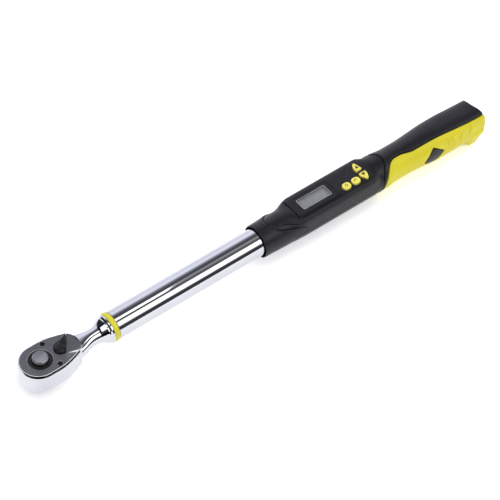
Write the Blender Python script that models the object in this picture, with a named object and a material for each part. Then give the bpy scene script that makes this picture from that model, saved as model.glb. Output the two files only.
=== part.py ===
"""An electronic torque wrench: a pear-shaped reversible ratchet head on a chromed tube, with a display
housing and a two-colour grip. +X runs from the drive to the grip, +Z is the display side, and the origin is
the centre of the square drive's end face. The numbers below are millimetres; AXIS_Z lifts the tube's axis
above the origin.
"""

import math

import bmesh
import bpy
from mathutils import Matrix, Vector

MM = 0.001
GAP = 0.3

# The axis of the tube, above the end of the square drive.
AXIS_Z = 26.5

# Ratchet head, in plan about the drive's axis and in height about the tube's axis.
NOSE_X = -1.5
HEAD_HALF = 19.5
FLANK_X = 9.0
NECK_X = 58.0
NECK_R = 8.1
HEAD_END_X = 25.8
HEAD_END_R = 16.3
HEAD_BOTTOM = -13.4
HEAD_TOP = 9.4
PLATE_INSET = 1.0
PLATE_BOTTOM = 7.4
PLATE_TOP = 10.4
SCREW_X = 11.8
SCREW_Y = 14.0

# Drive gear, its square and the quick release inside it.
TEETH = 36
GEAR_TIP_R = 14.4
GEAR_ROOT_R = 13.2
GEAR_BOSS_R = 11.3
GEAR_LOW = -7.0
GEAR_HIGH = 6.6
GEAR_BOSS_TOP = 10.2
SQUARE = 12.7
SQUARE_TURN = -40.0
BUTTON_R = 7.6
BUTTON_LOW = 8.0
BUTTON_TOP = 14.8
BUTTON_FLOOR = 0.5
PLUNGER_R = 2.3
PLUNGER_BORE_R = 2.7
PLUNGER_LOW = -22.0
BALL_R = 2.4
BALL_PROUD = 0.9
BALL_Z = -20.2
BUTTON_TRAVEL = 3.0

# Pawl and reversing lever, both on one axis.
LEVER_X = 20.5
LEVER_REST = 35.0
PAWL_REST = 4.0
PAWL_HALF_HEIGHT = 5.4
LEVER_SHAFT_R = 3.0
LEVER_HUB_R = 6.3
RECESS_Z = 8.9

# Tube, ring and measuring beam.
FLANGE_X = 72.6
FLANGE_R = 14.3
RING_X0 = 72.9
RING_X1 = 78.1
RING_R = 14.5
TUBE_R = 14.0
TUBE_BORE_R = 11.8
TUBE_END_X = 488.0
WINDOW_X0 = 284.0
WINDOW_X1 = 380.0
BEAM_Y = 5.0
BEAM_Z = 7.5
HEAD_PIN_X = 75.5
BEAM_PIN_X = 255.0

# Display housing.
HOUSING_X0 = 242.5
RAMP_X0 = 273.0
RAMP_X1 = 292.0
DECK_X1 = 371.0
COLLAR_X0 = 381.0
COLLAR_BULGE = 9.0
DECK_HALF = 18.0
DECK_TOP = 15.5
DECK_POWER = 6.0
COLLAR_R = 18.4
WALL = 2.2
SPLIT_Z = -2.0
BEZEL_X0 = 285.4
BEZEL_X1 = 333.2
BEZEL_HALF = 13.2
LENS_X0 = 294.5
LENS_X1 = 329.0
LENS_HALF = 6.4
BOARD_Z = 6.6
KEY_TOP = 16.9

# Screws along the underside: place along the tube, lowest point and the height of the seat under the head.
BOTTOM_SCREWS = [(262.0, -16.7, -15.6), (372.0, -17.9, -16.8), (398.0, -16.9, -15.6), (478.0, -17.1, -16.2)]

# Grip.
GRIP_X1 = 509.3
GRIP_POWER = 2.7
GRIP_REACH = 1.087
END_LEAN = 4.0
SKIN = 2.2
SKIN_X0 = 383.0
FAR_SEAM = 62.0
TOE_X = 501.0
TOE_Z = -AXIS_Z
TOE_HALF = 11.0
TOE_FLARE = 0.35
TOE_WIDEST = 17.4
GRIP_BORE_R = 14.3
DIAMOND_X = 443.3
DIAMOND_LONG = 11.5
DIAMOND_TALL = 11.5
CELL_R = 7.1
CELL_LENGTH = 50.5
CELL_X0 = 384.6
CAP_X0 = 494.0
CAP_X1 = 505.0
CAP_R = 13.6

ROUND = 26


# ---------------------------------------------------------------- helpers

def clear_scene():
    for thing in list(bpy.data.objects):
        bpy.data.objects.remove(thing)


def material(name, colour, roughness, metallic):
    """A Principled material of one colour."""
    made = bpy.data.materials.new(name)
    made.use_nodes = True
    shader = made.node_tree.nodes["Principled BSDF"]
    shader.inputs["Base Color"].default_value = (*colour, 1.0)
    shader.inputs["Roughness"].default_value = roughness
    shader.inputs["Metallic"].default_value = metallic
    made.diffuse_color = (*colour, 1.0)
    return made


def to_object(name, bm, mat=None, origin=(0.0, 0.0, 0.0), smooth=40.0):
    """An object from a mesh in millimetres about the tube's axis, with its own origin at the given point."""
    bmesh.ops.remove_doubles(bm, verts=bm.verts, dist=1e-5)
    bmesh.ops.recalc_face_normals(bm, faces=bm.faces)
    shift = Matrix.Translation(-Vector(origin))
    bmesh.ops.transform(bm, matrix=Matrix.Scale(MM, 4) @ shift, verts=bm.verts)
    mesh = bpy.data.meshes.new(name)
    bm.to_mesh(mesh)
    bm.free()
    mesh.shade_smooth()
    mesh.set_sharp_from_angle(angle=math.radians(smooth))
    made = bpy.data.objects.new(name, mesh)
    made.location = (Vector(origin) + Vector((0.0, 0.0, AXIS_Z))) * MM
    bpy.context.scene.collection.objects.link(made)
    if mat:
        mesh.materials.append(mat)
    return made


def combine(target, bm, operation):
    """Joins, cuts or intersects a node with a helper mesh, through an exact Boolean."""
    helper = to_object(f"{target.name}_helper", bm)
    helper.hide_render = True
    helper.display_type = "WIRE"
    boolean = target.modifiers.new(operation.lower(), "BOOLEAN")
    boolean.operation = operation
    boolean.solver = "EXACT"
    boolean.object = helper
    return helper


def cut(target, bm):
    return combine(target, bm, "DIFFERENCE")


def join(target, bm):
    return combine(target, bm, "UNION")


def keep_inside(target, bm):
    return combine(target, bm, "INTERSECT")


def arc(cx, cy, radius, start, end, steps):
    """Points along an arc, its angles in degrees, both ends included."""
    turns = [math.radians(start + (end - start) * i / steps) for i in range(steps + 1)]
    return [(cx + radius * math.cos(t), cy + radius * math.sin(t)) for t in turns]


def turned_about(points, centre, degrees):
    """Plan points turned about a centre."""
    c, s = math.cos(math.radians(degrees)), math.sin(math.radians(degrees))
    return [(centre[0] + (x - centre[0]) * c - (y - centre[1]) * s,
             centre[1] + (x - centre[0]) * s + (y - centre[1]) * c) for x, y in points]


def prism(outline, low, high):
    """An upright prism over a closed plan outline."""
    bm = bmesh.new()
    floor = bm.faces.new([bm.verts.new((x, y, low)) for x, y in outline])
    lifted = bmesh.ops.extrude_face_region(bm, geom=[floor])["geom"]
    raised = [v for v in lifted if isinstance(v, bmesh.types.BMVert)]
    bmesh.ops.translate(bm, vec=(0.0, 0.0, high - low), verts=raised)
    return bm


def block(x0, x1, y0, y1, z0, z1):
    return prism([(x0, y0), (x1, y0), (x1, y1), (x0, y1)], z0, z1)


def rounded_rectangle(x0, x1, y0, y1, radius, steps=3):
    corners = [(x1 - radius, y1 - radius, 0), (x0 + radius, y1 - radius, 90),
               (x0 + radius, y0 + radius, 180), (x1 - radius, y0 + radius, 270)]
    return [p for x, y, start in corners for p in arc(x, y, radius, start, start + 90, steps)]


def loft(rings, fans=False):
    """A closed skin over rings of the same number of points, capped at both ends by one face,
    or by a fan of triangles where the end isn't flat."""
    bm = bmesh.new()
    loops = [[bm.verts.new(p) for p in ring] for ring in rings]
    count = len(loops[0])
    for first, second in zip(loops, loops[1:]):
        for i in range(count):
            j = (i + 1) % count
            bm.faces.new((first[i], first[j], second[j], second[i]))
    for loop in (loops[0], loops[-1]):
        if not fans:
            bm.faces.new(loop)
            continue
        hub = bm.verts.new(sum((v.co for v in loop), Vector()) / count)
        for i in range(count):
            bm.faces.new((loop[i], loop[(i + 1) % count], hub))
    return bm


def lathe(profile, axis="Z", centre=(0.0, 0.0, 0.0), steps=ROUND):
    """A solid turned from (radius, height) points. A profile that starts and ends on the axis is solid;
    one that closes on itself is a ring."""
    closed = profile[0][0] > 0
    bm = bmesh.new()
    points = [bm.verts.new((r, 0.0, h)) for r, h in profile]
    edges = [bm.edges.new(pair) for pair in zip(points, points[1:])]
    if closed:
        edges.append(bm.edges.new((points[-1], points[0])))
    bmesh.ops.spin(bm, geom=points + edges, cent=(0, 0, 0), axis=(0, 0, 1), angle=math.tau, steps=steps,
                   use_merge=True)
    bmesh.ops.remove_doubles(bm, verts=bm.verts, dist=1e-4)
    turn = {"X": Matrix.Rotation(math.pi / 2, 4, "Y"), "Z": Matrix.Identity(4)}[axis]
    half_step = Matrix.Rotation(math.pi / steps, 4, "Z")
    bmesh.ops.transform(bm, matrix=Matrix.Translation(centre) @ turn @ half_step, verts=bm.verts)
    return bm


def disc(radius, low, high, axis="Z", centre=(0.0, 0.0, 0.0), steps=ROUND):
    return lathe([(0, low), (radius, low), (radius, high), (0, high)], axis, centre, steps)


def tube_along_x(outer, inner, x0, x1, steps=ROUND):
    return lathe([(outer, x0), (outer, x1), (inner, x1), (inner, x0)], "X", steps=steps)


def coil(radius, wire, low, high, turns, axis="Z", centre=(0.0, 0.0, 0.0), per_turn=12, sides=5, taper=1.0):
    """A helical spring of round wire."""
    steps = int(turns * per_turn)
    rings = []
    for i in range(steps + 1):
        share = i / steps
        angle = math.tau * turns * share
        mean = radius * (1 + (taper - 1) * share)
        height = low + wire + (high - low - 2 * wire) * share
        ring = []
        for k in range(sides):
            turn = math.tau * k / sides
            reach = mean + wire * math.cos(turn)
            ring.append((reach * math.cos(angle), reach * math.sin(angle), height + wire * math.sin(turn)))
        rings.append(ring)
    bm = loft(rings)
    turn = {"X": Matrix.Rotation(math.pi / 2, 4, "Y"), "Z": Matrix.Identity(4)}[axis]
    bmesh.ops.transform(bm, matrix=Matrix.Translation(centre) @ turn, verts=bm.verts)
    return bm


def smooth_step(value):
    """0 to 1 with level ends."""
    clamped = min(1.0, max(0.0, value))
    return clamped * clamped * (3 - 2 * clamped)


def moved(bm, matrix):
    bmesh.ops.transform(bm, matrix=matrix, verts=bm.verts)
    return bm


# ---------------------------------------------------------------- ratchet head

def flank(x):
    """Half the head's width in plan, from its broad part to the neck."""
    return NECK_R + (HEAD_HALF - NECK_R) * smooth_step((NECK_X - x) / (NECK_X - FLANK_X))


def head_outline(inset):
    """The pear-shaped plan of the head, drawn in by an inset."""
    nose = HEAD_HALF - inset
    end = HEAD_END_R - inset
    side = []
    x = FLANK_X
    while True:
        slope = (flank(x + 0.1) - flank(x)) / 0.1
        lean = math.hypot(1.0, slope)
        px, py = x + inset * slope / lean, flank(x) - inset / lean
        if math.hypot(px - HEAD_END_X, py) > end and px > HEAD_END_X:
            break
        side.append((px, py))
        x += 4.2
    half = list(reversed(arc(NOSE_X, 0, nose, 90, 180, 7))) + side
    tip_angle = math.degrees(math.atan2(side[-1][1], side[-1][0] - HEAD_END_X)) - 8.0
    half += arc(HEAD_END_X, 0, end, tip_angle, 0, 4)
    return half + [(x, -y) for x, y in reversed(half[1:-1])]


def neck_ring(x, half_width, high, low, power=2.0):
    """One section of the neck: a superellipse that may be taller above than below."""
    ring = []
    for i in range(ROUND):
        t = math.tau * i / ROUND
        c, s = math.cos(t), math.sin(t)
        y = half_width * math.copysign(abs(c) ** (2 / power), c)
        z = math.copysign(abs(s) ** (2 / power), s) * (high if s > 0 else -low)
        ring.append((x, y, z))
    return ring


def pawl_chamber():
    """Plan of the pocket that the pawl and the lever's shaft share."""
    half = 10.8
    rear = 8.3
    return [(8.0, -half), (LEVER_X - 2.0, -half)] + arc(LEVER_X, 0, rear, -60, 60, 10) + [
        (LEVER_X - 2.0, half), (8.0, half)]


def make_head(steel):
    """Forged head, neck, flange and the tang that enters the tube."""
    shelf = [(5.8, HEAD_BOTTOM), (2.6, HEAD_BOTTOM + 0.7), (0.8, HEAD_BOTTOM + 2.4), (0.0, HEAD_BOTTOM + 5.0),
             (0.0, HEAD_TOP - 0.5), (0.3, HEAD_TOP)]
    levels = [[(x, y, z) for x, y in head_outline(inset)] for inset, z in shelf]
    body = to_object("ratchet_head", loft(levels), steel)
    join(body, loft([neck_ring(30.0, 12.5, 7.0, -8.5, 2.6), neck_ring(38.0, 11.9, 7.0, -9.6, 2.5),
                     neck_ring(43.0, 10.7, 7.3, -9.2, 2.3), neck_ring(50.0, 8.9, 7.8, -8.4),
                     neck_ring(NECK_X, NECK_R, NECK_R, -NECK_R), neck_ring(64.5, 9.9, 9.9, -9.9),
                     neck_ring(70.5, 13.2, 13.2, -13.2),
                     neck_ring(FLANGE_X - 1.2, FLANGE_R, FLANGE_R, -FLANGE_R),
                     neck_ring(FLANGE_X, FLANGE_R, FLANGE_R, -FLANGE_R)]))
    join(body, disc(TUBE_BORE_R - GAP, 71.0, 96.0, "X"))
    cut(body, prism(head_outline(PLATE_INSET - GAP), PLATE_BOTTOM - GAP, 20.0))
    cut(body, disc(GEAR_TIP_R + 0.6, GEAR_LOW - GAP, 20.0, steps=32))
    cut(body, disc(GEAR_BOSS_R + GAP, -20.0, 0.0))
    cut(body, prism(pawl_chamber(), -PAWL_HALF_HEIGHT - GAP, 20.0))
    cut(body, disc(LEVER_SHAFT_R + GAP - 1.0, -9.0, 0.0, centre=(LEVER_X, 0, 0), steps=16))
    for side in (-1, 1):
        cut(body, disc(1.65, -1.0, 20.0, centre=(SCREW_X, side * SCREW_Y, 0), steps=12))
    cut(body, block(67.5, 110.0, -BEAM_Y - GAP, BEAM_Y + GAP, -BEAM_Z - GAP, BEAM_Z + GAP))
    cut(body, disc(2.3, -30.0, 30.0, centre=(HEAD_PIN_X, 0, 0), steps=8))
    return body


def make_plate(gunmetal):
    """Cover plate with its gear hole, screw holes and the fan-shaped recess that the lever sweeps."""
    plate = to_object("cover_plate", prism(head_outline(PLATE_INSET), PLATE_BOTTOM, PLATE_TOP), gunmetal)
    cut(plate, disc(GEAR_BOSS_R + GAP + 0.1, 0.0, 20.0, steps=32))
    cut(plate, disc(LEVER_SHAFT_R + GAP, 0.0, 20.0, centre=(LEVER_X, 0, 0), steps=20))
    fan = arc(LEVER_X, 0, 6.9, 125, 235, 8) + [(33.0, -13.6), (46.0, -13.6), (46.0, 13.6), (33.0, 13.6)]
    cut(plate, prism(fan, RECESS_Z, 20.0))
    for side in (-1, 1):
        centre = (SCREW_X, side * SCREW_Y, 0)
        cut(plate, disc(1.65, 0.0, 20.0, centre=centre, steps=12))
        cut(plate, disc(2.8, RECESS_Z, 20.0, centre=centre, steps=20))
    return plate


def make_cover_screws(black):
    """Two socket-head screws that hold the plate down."""
    for number, side in ((1, 1), (2, -1)):
        centre = (SCREW_X, side * SCREW_Y, 0)
        top = PLATE_TOP - 0.1
        low = RECESS_Z + 0.1
        profile = [(0, 0.0), (1.35, 0.0), (1.35, low), (2.5, low), (2.5, top - 0.3), (2.2, top), (0, top)]
        screw = to_object(f"cover_screw_{number}", lathe(profile, centre=centre, steps=12), black, centre)
        cut(screw, disc(1.3, top - 0.9, 20.0, centre=centre, steps=6))


# ---------------------------------------------------------------- drive gear and quick release

def gear_outline(grow=0.0, widen=0.0):
    """Plan of the toothed ring; grow adds to its radii and widen, in degrees, to the flanks of each tooth."""
    pitch = 360.0 / TEETH
    corners = ((-3.8 - widen, GEAR_ROOT_R), (-1.0 - widen, GEAR_TIP_R),
               (1.0 + widen, GEAR_TIP_R), (3.8 + widen, GEAR_ROOT_R))
    points = []
    for tooth in range(TEETH):
        for angle, radius in corners:
            t = math.radians(pitch * (tooth + 0.5) + angle)
            points.append(((radius + grow) * math.cos(t), (radius + grow) * math.sin(t)))
    return points


def ball_direction():
    turn = math.radians(SQUARE_TURN - 90.0)
    return Vector((math.cos(turn), math.sin(turn), 0.0))


def square_rings():
    """The square drive as sections, with a chamfered end."""
    half = SQUARE / 2
    end = -AXIS_Z
    rings = []
    for inset, z in ((0.9, end), (0.0, end + 1.1), (0.0, HEAD_BOTTOM + 1.0)):
        plan = rounded_rectangle(-half + inset, half - inset, -half + inset, half - inset, 1.3, 3)
        rings.append([(x, y, z) for x, y in turned_about(plan, (0, 0), SQUARE_TURN)])
    return rings


def make_drive_gear(oxide):
    """Toothed gear, its two journals and the square, in one piece, bored for the quick release."""
    gear = to_object("drive_gear", prism(gear_outline(), GEAR_LOW, GEAR_HIGH), oxide, smooth=30.0)
    join(gear, lathe([(0, GEAR_LOW + 2.0), (GEAR_BOSS_R - 0.6, GEAR_LOW + 2.0),
                      (GEAR_BOSS_R, GEAR_LOW + 2.6), (GEAR_BOSS_R, GEAR_BOSS_TOP - 0.5),
                      (GEAR_BOSS_R - 0.5, GEAR_BOSS_TOP), (0, GEAR_BOSS_TOP)], steps=32))
    join(gear, lathe([(0, HEAD_BOTTOM - 0.4), (GEAR_BOSS_R - 0.5, HEAD_BOTTOM - 0.4),
                      (GEAR_BOSS_R, HEAD_BOTTOM + 0.1), (GEAR_BOSS_R, GEAR_LOW + 2.0), (0, GEAR_LOW + 2.0)],
                     steps=32))
    join(gear, loft(square_rings()))
    cut(gear, disc(BUTTON_R + GAP, BUTTON_FLOOR, 20.0))
    cut(gear, disc(PLUNGER_BORE_R, PLUNGER_LOW - BUTTON_TRAVEL - GAP, 5.0, steps=16))
    along = ball_direction()
    turn = along.to_track_quat("Z", "Y").to_matrix().to_4x4()
    hole = disc(BALL_R + 0.15, 1.0, 12.0, steps=16)
    cut(gear, moved(hole, Matrix.Translation((0, 0, BALL_Z)) @ turn))


def make_quick_release(satin, spring_steel):
    """Press button with its plunger, the return spring round it, and the ball that the plunger holds out."""
    waist = [(PLUNGER_R, BALL_Z), (1.3, BALL_Z + 2.2), (1.3, BALL_Z + 4.2), (PLUNGER_R, BALL_Z + 5.2)]
    profile = [(0, PLUNGER_LOW), (PLUNGER_R, PLUNGER_LOW)] + waist + [
        (PLUNGER_R, BUTTON_LOW), (BUTTON_R, BUTTON_LOW), (BUTTON_R, BUTTON_TOP - 1.6),
        (BUTTON_R - 0.5, BUTTON_TOP - 0.5), (BUTTON_R - 1.6, BUTTON_TOP), (0, BUTTON_TOP)]
    to_object("release_button", lathe(profile, steps=20), satin, (0, 0, BUTTON_TOP))
    spring = coil(5.2, 0.45, BUTTON_FLOOR + 0.1, BUTTON_LOW - 0.1, 3.5, per_turn=10, sides=4)
    to_object("release_spring", spring, spring_steel, (0, 0, BUTTON_FLOOR))
    ball_centre = ball_direction() * (SQUARE / 2 + BALL_PROUD - BALL_R) + Vector((0, 0, BALL_Z))
    ball = bmesh.new()
    bmesh.ops.create_icosphere(ball, subdivisions=2, radius=BALL_R)
    bmesh.ops.translate(ball, vec=ball_centre, verts=ball.verts)
    to_object("detent_ball", ball, spring_steel, ball_centre)


# ---------------------------------------------------------------- pawl and lever

def make_pawl(steel):
    """Rocking pawl on the lever's shaft. Its face is cut by the gear in both of its two positions."""
    pivot = (LEVER_X, 0.0)
    half = 9.7
    front = arc(0, 0, GEAR_ROOT_R - 0.2, 43, -43, 14)
    outline = front + [(13.0, -half), (17.0, -half)] + arc(LEVER_X, 0, 7.6, -75, 75, 14) + [
        (17.0, half), (13.0, half)]
    outline = turned_about(outline, pivot, PAWL_REST)
    pawl = to_object("pawl", prism(outline, -PAWL_HALF_HEIGHT, PAWL_HALF_HEIGHT), steel, (LEVER_X, 0, 0))
    high = PAWL_HALF_HEIGHT + 1.0
    for turn in (0.0, PAWL_REST, 2 * PAWL_REST):
        cut(pawl, prism(turned_about(gear_outline(0.2, 0.5), pivot, turn), -high, high))
    cavity = arc(LEVER_X, 0, 6.0, -58, 58, 12) + arc(LEVER_X, 0, 2.0, 58, -58, 6)
    cut(pawl, prism(turned_about(cavity, pivot, PAWL_REST), -high, high))
    cut(pawl, disc(LEVER_SHAFT_R + GAP, -high, high, centre=(LEVER_X, 0, 0), steps=24))


def lever_matrix():
    """From the lever's own frame, its arm along +X, to its rest place."""
    return Matrix.Translation((LEVER_X, 0, 0)) @ Matrix.Rotation(math.radians(LEVER_REST), 4, "Z")


def make_lever(oxide, spring_steel):
    """Reversing lever: shaft, hub and a pointed thumb tab, with the sprung pin that tips the pawl."""
    place = lever_matrix()
    floor = RECESS_Z + 0.25
    shaft = lathe([(0, -8.6), (1.9, -8.6), (1.9, -5.5), (LEVER_SHAFT_R, -5.5), (LEVER_SHAFT_R, 10.0),
                   (0, 10.0)], steps=20)
    lever = to_object("reversing_lever", moved(shaft, place), oxide, (LEVER_X, 0, 0))
    hub = lathe([(0, floor), (LEVER_HUB_R, floor), (LEVER_HUB_R, 11.7), (LEVER_HUB_R - 1.0, 12.6), (0, 12.6)],
                steps=28)
    join(lever, moved(hub, place))
    arm_plan = [(1.0, 6.0), (9.5, 3.6), (14.6, 0.5), (14.6, -0.5), (9.5, -2.6), (1.0, -5.0)]
    arm = prism(arm_plan, floor, 12.2)
    for vert in arm.verts:
        if vert.co.z > 12.0:
            vert.co.z += max(0.0, vert.co.x - 4.0) * 0.22
    join(lever, moved(arm, place))
    pin_hole = disc(1.3, -1.6, 6.0, "X", steps=10)
    cut(lever, moved(pin_hole, place))
    pin = lathe([(0, 1.9), (1.0, 1.9), (1.0, 4.9), (0.7, 5.4), (0, 5.6)], "X", steps=10)
    to_object("lever_detent_pin", moved(pin, place), spring_steel, (LEVER_X, 0, 0))
    spring = coil(0.85, 0.2, -1.5, 1.8, 2.5, "X", per_turn=7, sides=3)
    to_object("lever_detent_spring", moved(spring, place), spring_steel, (LEVER_X, 0, 0))


# ---------------------------------------------------------------- tube and measuring beam

def make_tube(chrome, ring_yellow):
    """Chromed tube, stepped down under the coloured ring and milled open under the electronics."""
    neck = TUBE_BORE_R + 1.1
    tube = to_object("tube", lathe([(neck, FLANGE_X + 0.6), (neck, RING_X1 + GAP), (TUBE_R, RING_X1 + GAP),
                                    (TUBE_R, TUBE_END_X), (TUBE_BORE_R, TUBE_END_X),
                                    (TUBE_BORE_R, FLANGE_X + 0.6)], "X"), chrome)
    cut(tube, block(WINDOW_X0, WINDOW_X1, -20.0, 20.0, 1.0, 20.0))
    cut(tube, disc(2.3, -30.0, 30.0, centre=(HEAD_PIN_X, 0, 0), steps=8))
    cut(tube, disc(2.3, -30.0, 30.0, centre=(BEAM_PIN_X, 0, 0), steps=8))
    for x, _, _ in BOTTOM_SCREWS:
        cut(tube, disc(1.9, -30.0, 0.0, centre=(x, 0, 0), steps=8))
    ring_bore = neck + GAP
    profile = [(RING_R - 0.5, RING_X0), (RING_R, RING_X0 + 0.5), (RING_R, RING_X1 - 0.5),
               (RING_R - 0.5, RING_X1), (ring_bore, RING_X1), (ring_bore, RING_X0)]
    to_object("marker_ring", lathe(profile, "X"), ring_yellow)


def make_beam(spring_steel, pin_steel, foil):
    """Spring-steel bar that bends with the load, its two pins and its two strain gauges."""
    beam = to_object("measuring_beam", block(68.0, 262.0, -BEAM_Y, BEAM_Y, -BEAM_Z, BEAM_Z), spring_steel)
    waist = 3.4
    for side in (-1, 1):
        inner, outer = sorted((side * waist, side * 20.0))
        cut(beam, prism(rounded_rectangle(112.0, 148.0, inner, outer, 1.2, 2), -20.0, 20.0))
        near, far = sorted((side * (waist + 0.1), side * (waist + 0.6)))
        name = "strain_gauge_left" if side > 0 else "strain_gauge_right"
        to_object(name, block(122.0, 138.0, near, far, -4.0, 4.0), foil)
    for x in (HEAD_PIN_X, BEAM_PIN_X):
        cut(beam, disc(2.3, -30.0, 30.0, centre=(x, 0, 0), steps=12))
    for name, x, reach in (("head_pin", HEAD_PIN_X, 12.7), ("beam_pin", BEAM_PIN_X, 13.9)):
        profile = [(0, -reach), (1.6, -reach), (2.0, -reach + 0.4), (2.0, reach - 0.4), (1.6, reach),
                   (0, reach)]
        to_object(name, lathe(profile, centre=(x, 0, 0), steps=12), pin_steel, (x, 0, 0))


def make_cable(name, points, radius, jacket):
    """A lead held inside the wrench, as a tube along its route."""
    curve = bpy.data.curves.new(name, "CURVE")
    curve.dimensions = "3D"
    curve.bevel_depth = radius * MM
    curve.bevel_resolution = 1
    curve.use_fill_caps = True
    route = curve.splines.new("POLY")
    route.points.add(len(points) - 1)
    for spot, (x, y, z) in zip(route.points, points):
        spot.co = (x * MM, y * MM, (z + AXIS_Z) * MM, 1.0)
    curve.materials.append(jacket)
    bpy.context.scene.collection.objects.link(bpy.data.objects.new(name, curve))


# ---------------------------------------------------------------- display housing

def super_radius(angle, half_width, high, low, power):
    """Distance from the axis to the skin; the angle is from straight up, in radians."""
    s, c = abs(math.sin(angle)), math.cos(angle)
    height, n = (high, power) if c > 0 else (low, 2.0)
    return ((s / half_width) ** n + (abs(c) / height) ** n) ** (-1 / n)


def housing_radius(x, angle):
    """Skin of the display housing: a round sleeve, a flat deck, then a round collar."""
    sleeve = 16.6 + 0.8 * smooth_step((x - HOUSING_X0) / (RAMP_X0 - HOUSING_X0))
    deck = super_radius(angle, DECK_HALF, DECK_TOP, 18.1, DECK_POWER)
    if x < DECK_X1:
        share = smooth_step((x - RAMP_X0) / (RAMP_X1 - RAMP_X0))
        return sleeve + (deck - sleeve) * share
    share = smooth_step((x - DECK_X1) / (COLLAR_X0 - DECK_X1))
    return deck + (COLLAR_R - deck) * share


def collar_x(angle):
    """Where the housing ends and the grip begins: further back along the top."""
    return COLLAR_X0 + COLLAR_BULGE * max(0.0, math.cos(angle)) ** 2


def around(radius_of, x_of, count=32):
    """One ring of points round the axis."""
    ring = []
    for i in range(count):
        angle = math.tau * i / count
        radius = radius_of(angle)
        ring.append((x_of(angle), -radius * math.sin(angle), radius * math.cos(angle)))
    return ring


def housing_rings(inset, first):
    """Rings of the housing's skin drawn in by an inset, from a first station to its curved rear edge."""
    stations = [first, RAMP_X0, 279.0, 286.0, RAMP_X1, DECK_X1, 376.0]
    rings = []
    for x in sorted(s for s in set(stations) if s >= first):
        rings.append(around(lambda a, x=x: housing_radius(x, a) - inset, lambda a, x=x: x))
    rings.append(around(lambda a: COLLAR_R - inset, collar_x))
    return rings


KEYS = {
    "power_key": rounded_rectangle(339.0, 349.0, -12.2, -3.4, 3.6),
    "units_key": rounded_rectangle(350.1, 360.1, -12.2, -3.4, 3.6),
    "up_key": (arc(368.0, 2.2, 2.2, -90, 15, 4) + arc(366.0, 8.2, 2.2, 15, 165, 5)
               + arc(364.0, 2.2, 2.2, 165, 270, 4)),
    "down_key": (arc(368.4, -4.6, 2.2, -15, 90, 4) + arc(363.6, -4.6, 2.2, 90, 195, 4)
                 + arc(366.0, -10.6, 2.2, 195, 345, 5)),
}


def grown(outline, by):
    """An outline grown outwards about its own middle."""
    cx = sum(x for x, _ in outline) / len(outline)
    cy = sum(y for _, y in outline) / len(outline)
    return [(x + by * (x - cx) / math.hypot(x - cx, y - cy), y + by * (y - cy) / math.hypot(x - cx, y - cy))
            for x, y in outline]


def make_housing(plastic):
    """Upper and lower shells: one skin, hollowed and parted along a level line."""
    for name, low, high in (("upper_housing", -40.0, SPLIT_Z), ("lower_housing", SPLIT_Z - 0.2, 40.0)):
        front = around(lambda a: 16.2, lambda a: HOUSING_X0)
        shell = to_object(name, loft([front] + housing_rings(0.0, HOUSING_X0 + 0.8), fans=True), plastic)
        cut(shell, block(200.0, 400.0, -40.0, 40.0, low, high))
        hollow = [around(lambda a, x=x: housing_radius(x, a) - WALL, lambda a, x=x: x, 28)
                  for x in (WINDOW_X0 - 1.0, 288.5, RAMP_X1, DECK_X1, WINDOW_X1 - 2.0)]
        cut(shell, loft(hollow))
        cut(shell, disc(GRIP_BORE_R, 230.0, 400.0, "X"))
        if name == "upper_housing":
            cut(shell, prism(rounded_rectangle(BEZEL_X0 - 0.2, BEZEL_X1 + 0.2, -BEZEL_HALF - 0.2,
                                               BEZEL_HALF + 0.2, 2.0, 3), 14.3, 30.0))
            cut(shell, prism(rounded_rectangle(288.5, 331.5, -10.4, 10.4, 1.0, 2), 10.0, 30.0))
            for outline in KEYS.values():
                cut(shell, prism(grown(outline, GAP), 10.0, 30.0))
            for side in (-1, 1):
                join(shell, disc(2.0, 8.5, 14.0, centre=(335.6, side * 11.0, 0), steps=12))
                cut(shell, disc(1.2, 8.0, 12.0, centre=(335.6, side * 11.0, 0), steps=8))
        else:
            for x, low, seat in BOTTOM_SCREWS[:2]:
                cut(shell, disc(1.9, -30.0, 0.0, centre=(x, 0, 0), steps=8))
                cut(shell, disc(3.3, -30.0, seat + 0.1, centre=(x, 0, 0), steps=16))


def make_bottom_screws(black):
    """Screws that fix the lower shell and the grip to the tube from beneath."""
    names = ("housing_screw_1", "housing_screw_2", "grip_screw_1", "grip_screw_2")
    tip = -TUBE_BORE_R - 0.1
    for name, (x, low, seat) in zip(names, BOTTOM_SCREWS):
        centre = (x, 0, 0)
        profile = [(0, low), (2.4, low), (2.9, low + 0.4), (2.9, seat), (1.45, seat), (1.45, tip), (0, tip)]
        screw = to_object(name, lathe(profile, centre=centre, steps=12), black, (x, 0, low))
        cut(screw, disc(1.4, low - 1.0, low + 0.8, centre=centre, steps=6))


def make_display(plastic, clear, glass_grey):
    """Bezel that follows the deck, its clear window, and the liquid-crystal module beneath."""
    plan = rounded_rectangle(BEZEL_X0, BEZEL_X1, -BEZEL_HALF, BEZEL_HALF, 1.8, 3)
    bezel = to_object("display_bezel", prism(plan, 14.5, 20.0), plastic)
    proud = 0.3
    deck = [around(lambda a: super_radius(a, DECK_HALF + proud, DECK_TOP + proud, COLLAR_R, DECK_POWER),
                   lambda a, x=x: x)
            for x in (BEZEL_X0 - 5.0, BEZEL_X1 + 5.0)]
    keep_inside(bezel, loft(deck))
    room = 0.15
    pane = rounded_rectangle(LENS_X0 - room, LENS_X1 + room, -LENS_HALF - room, LENS_HALF + room, 0.8, 2)
    cut(bezel, prism(pane, 10.0, 30.0))
    lens = prism(rounded_rectangle(LENS_X0, LENS_X1, -LENS_HALF, LENS_HALF, 0.7, 2), 13.6, 15.3)
    to_object("display_lens", lens, clear)
    lcd = prism(rounded_rectangle(LENS_X0 - 3.0, LENS_X1 + 2.0, -9.6, 9.6, 0.6, 1), 8.5, 12.9)
    to_object("lcd_module", lcd, glass_grey)


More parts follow.
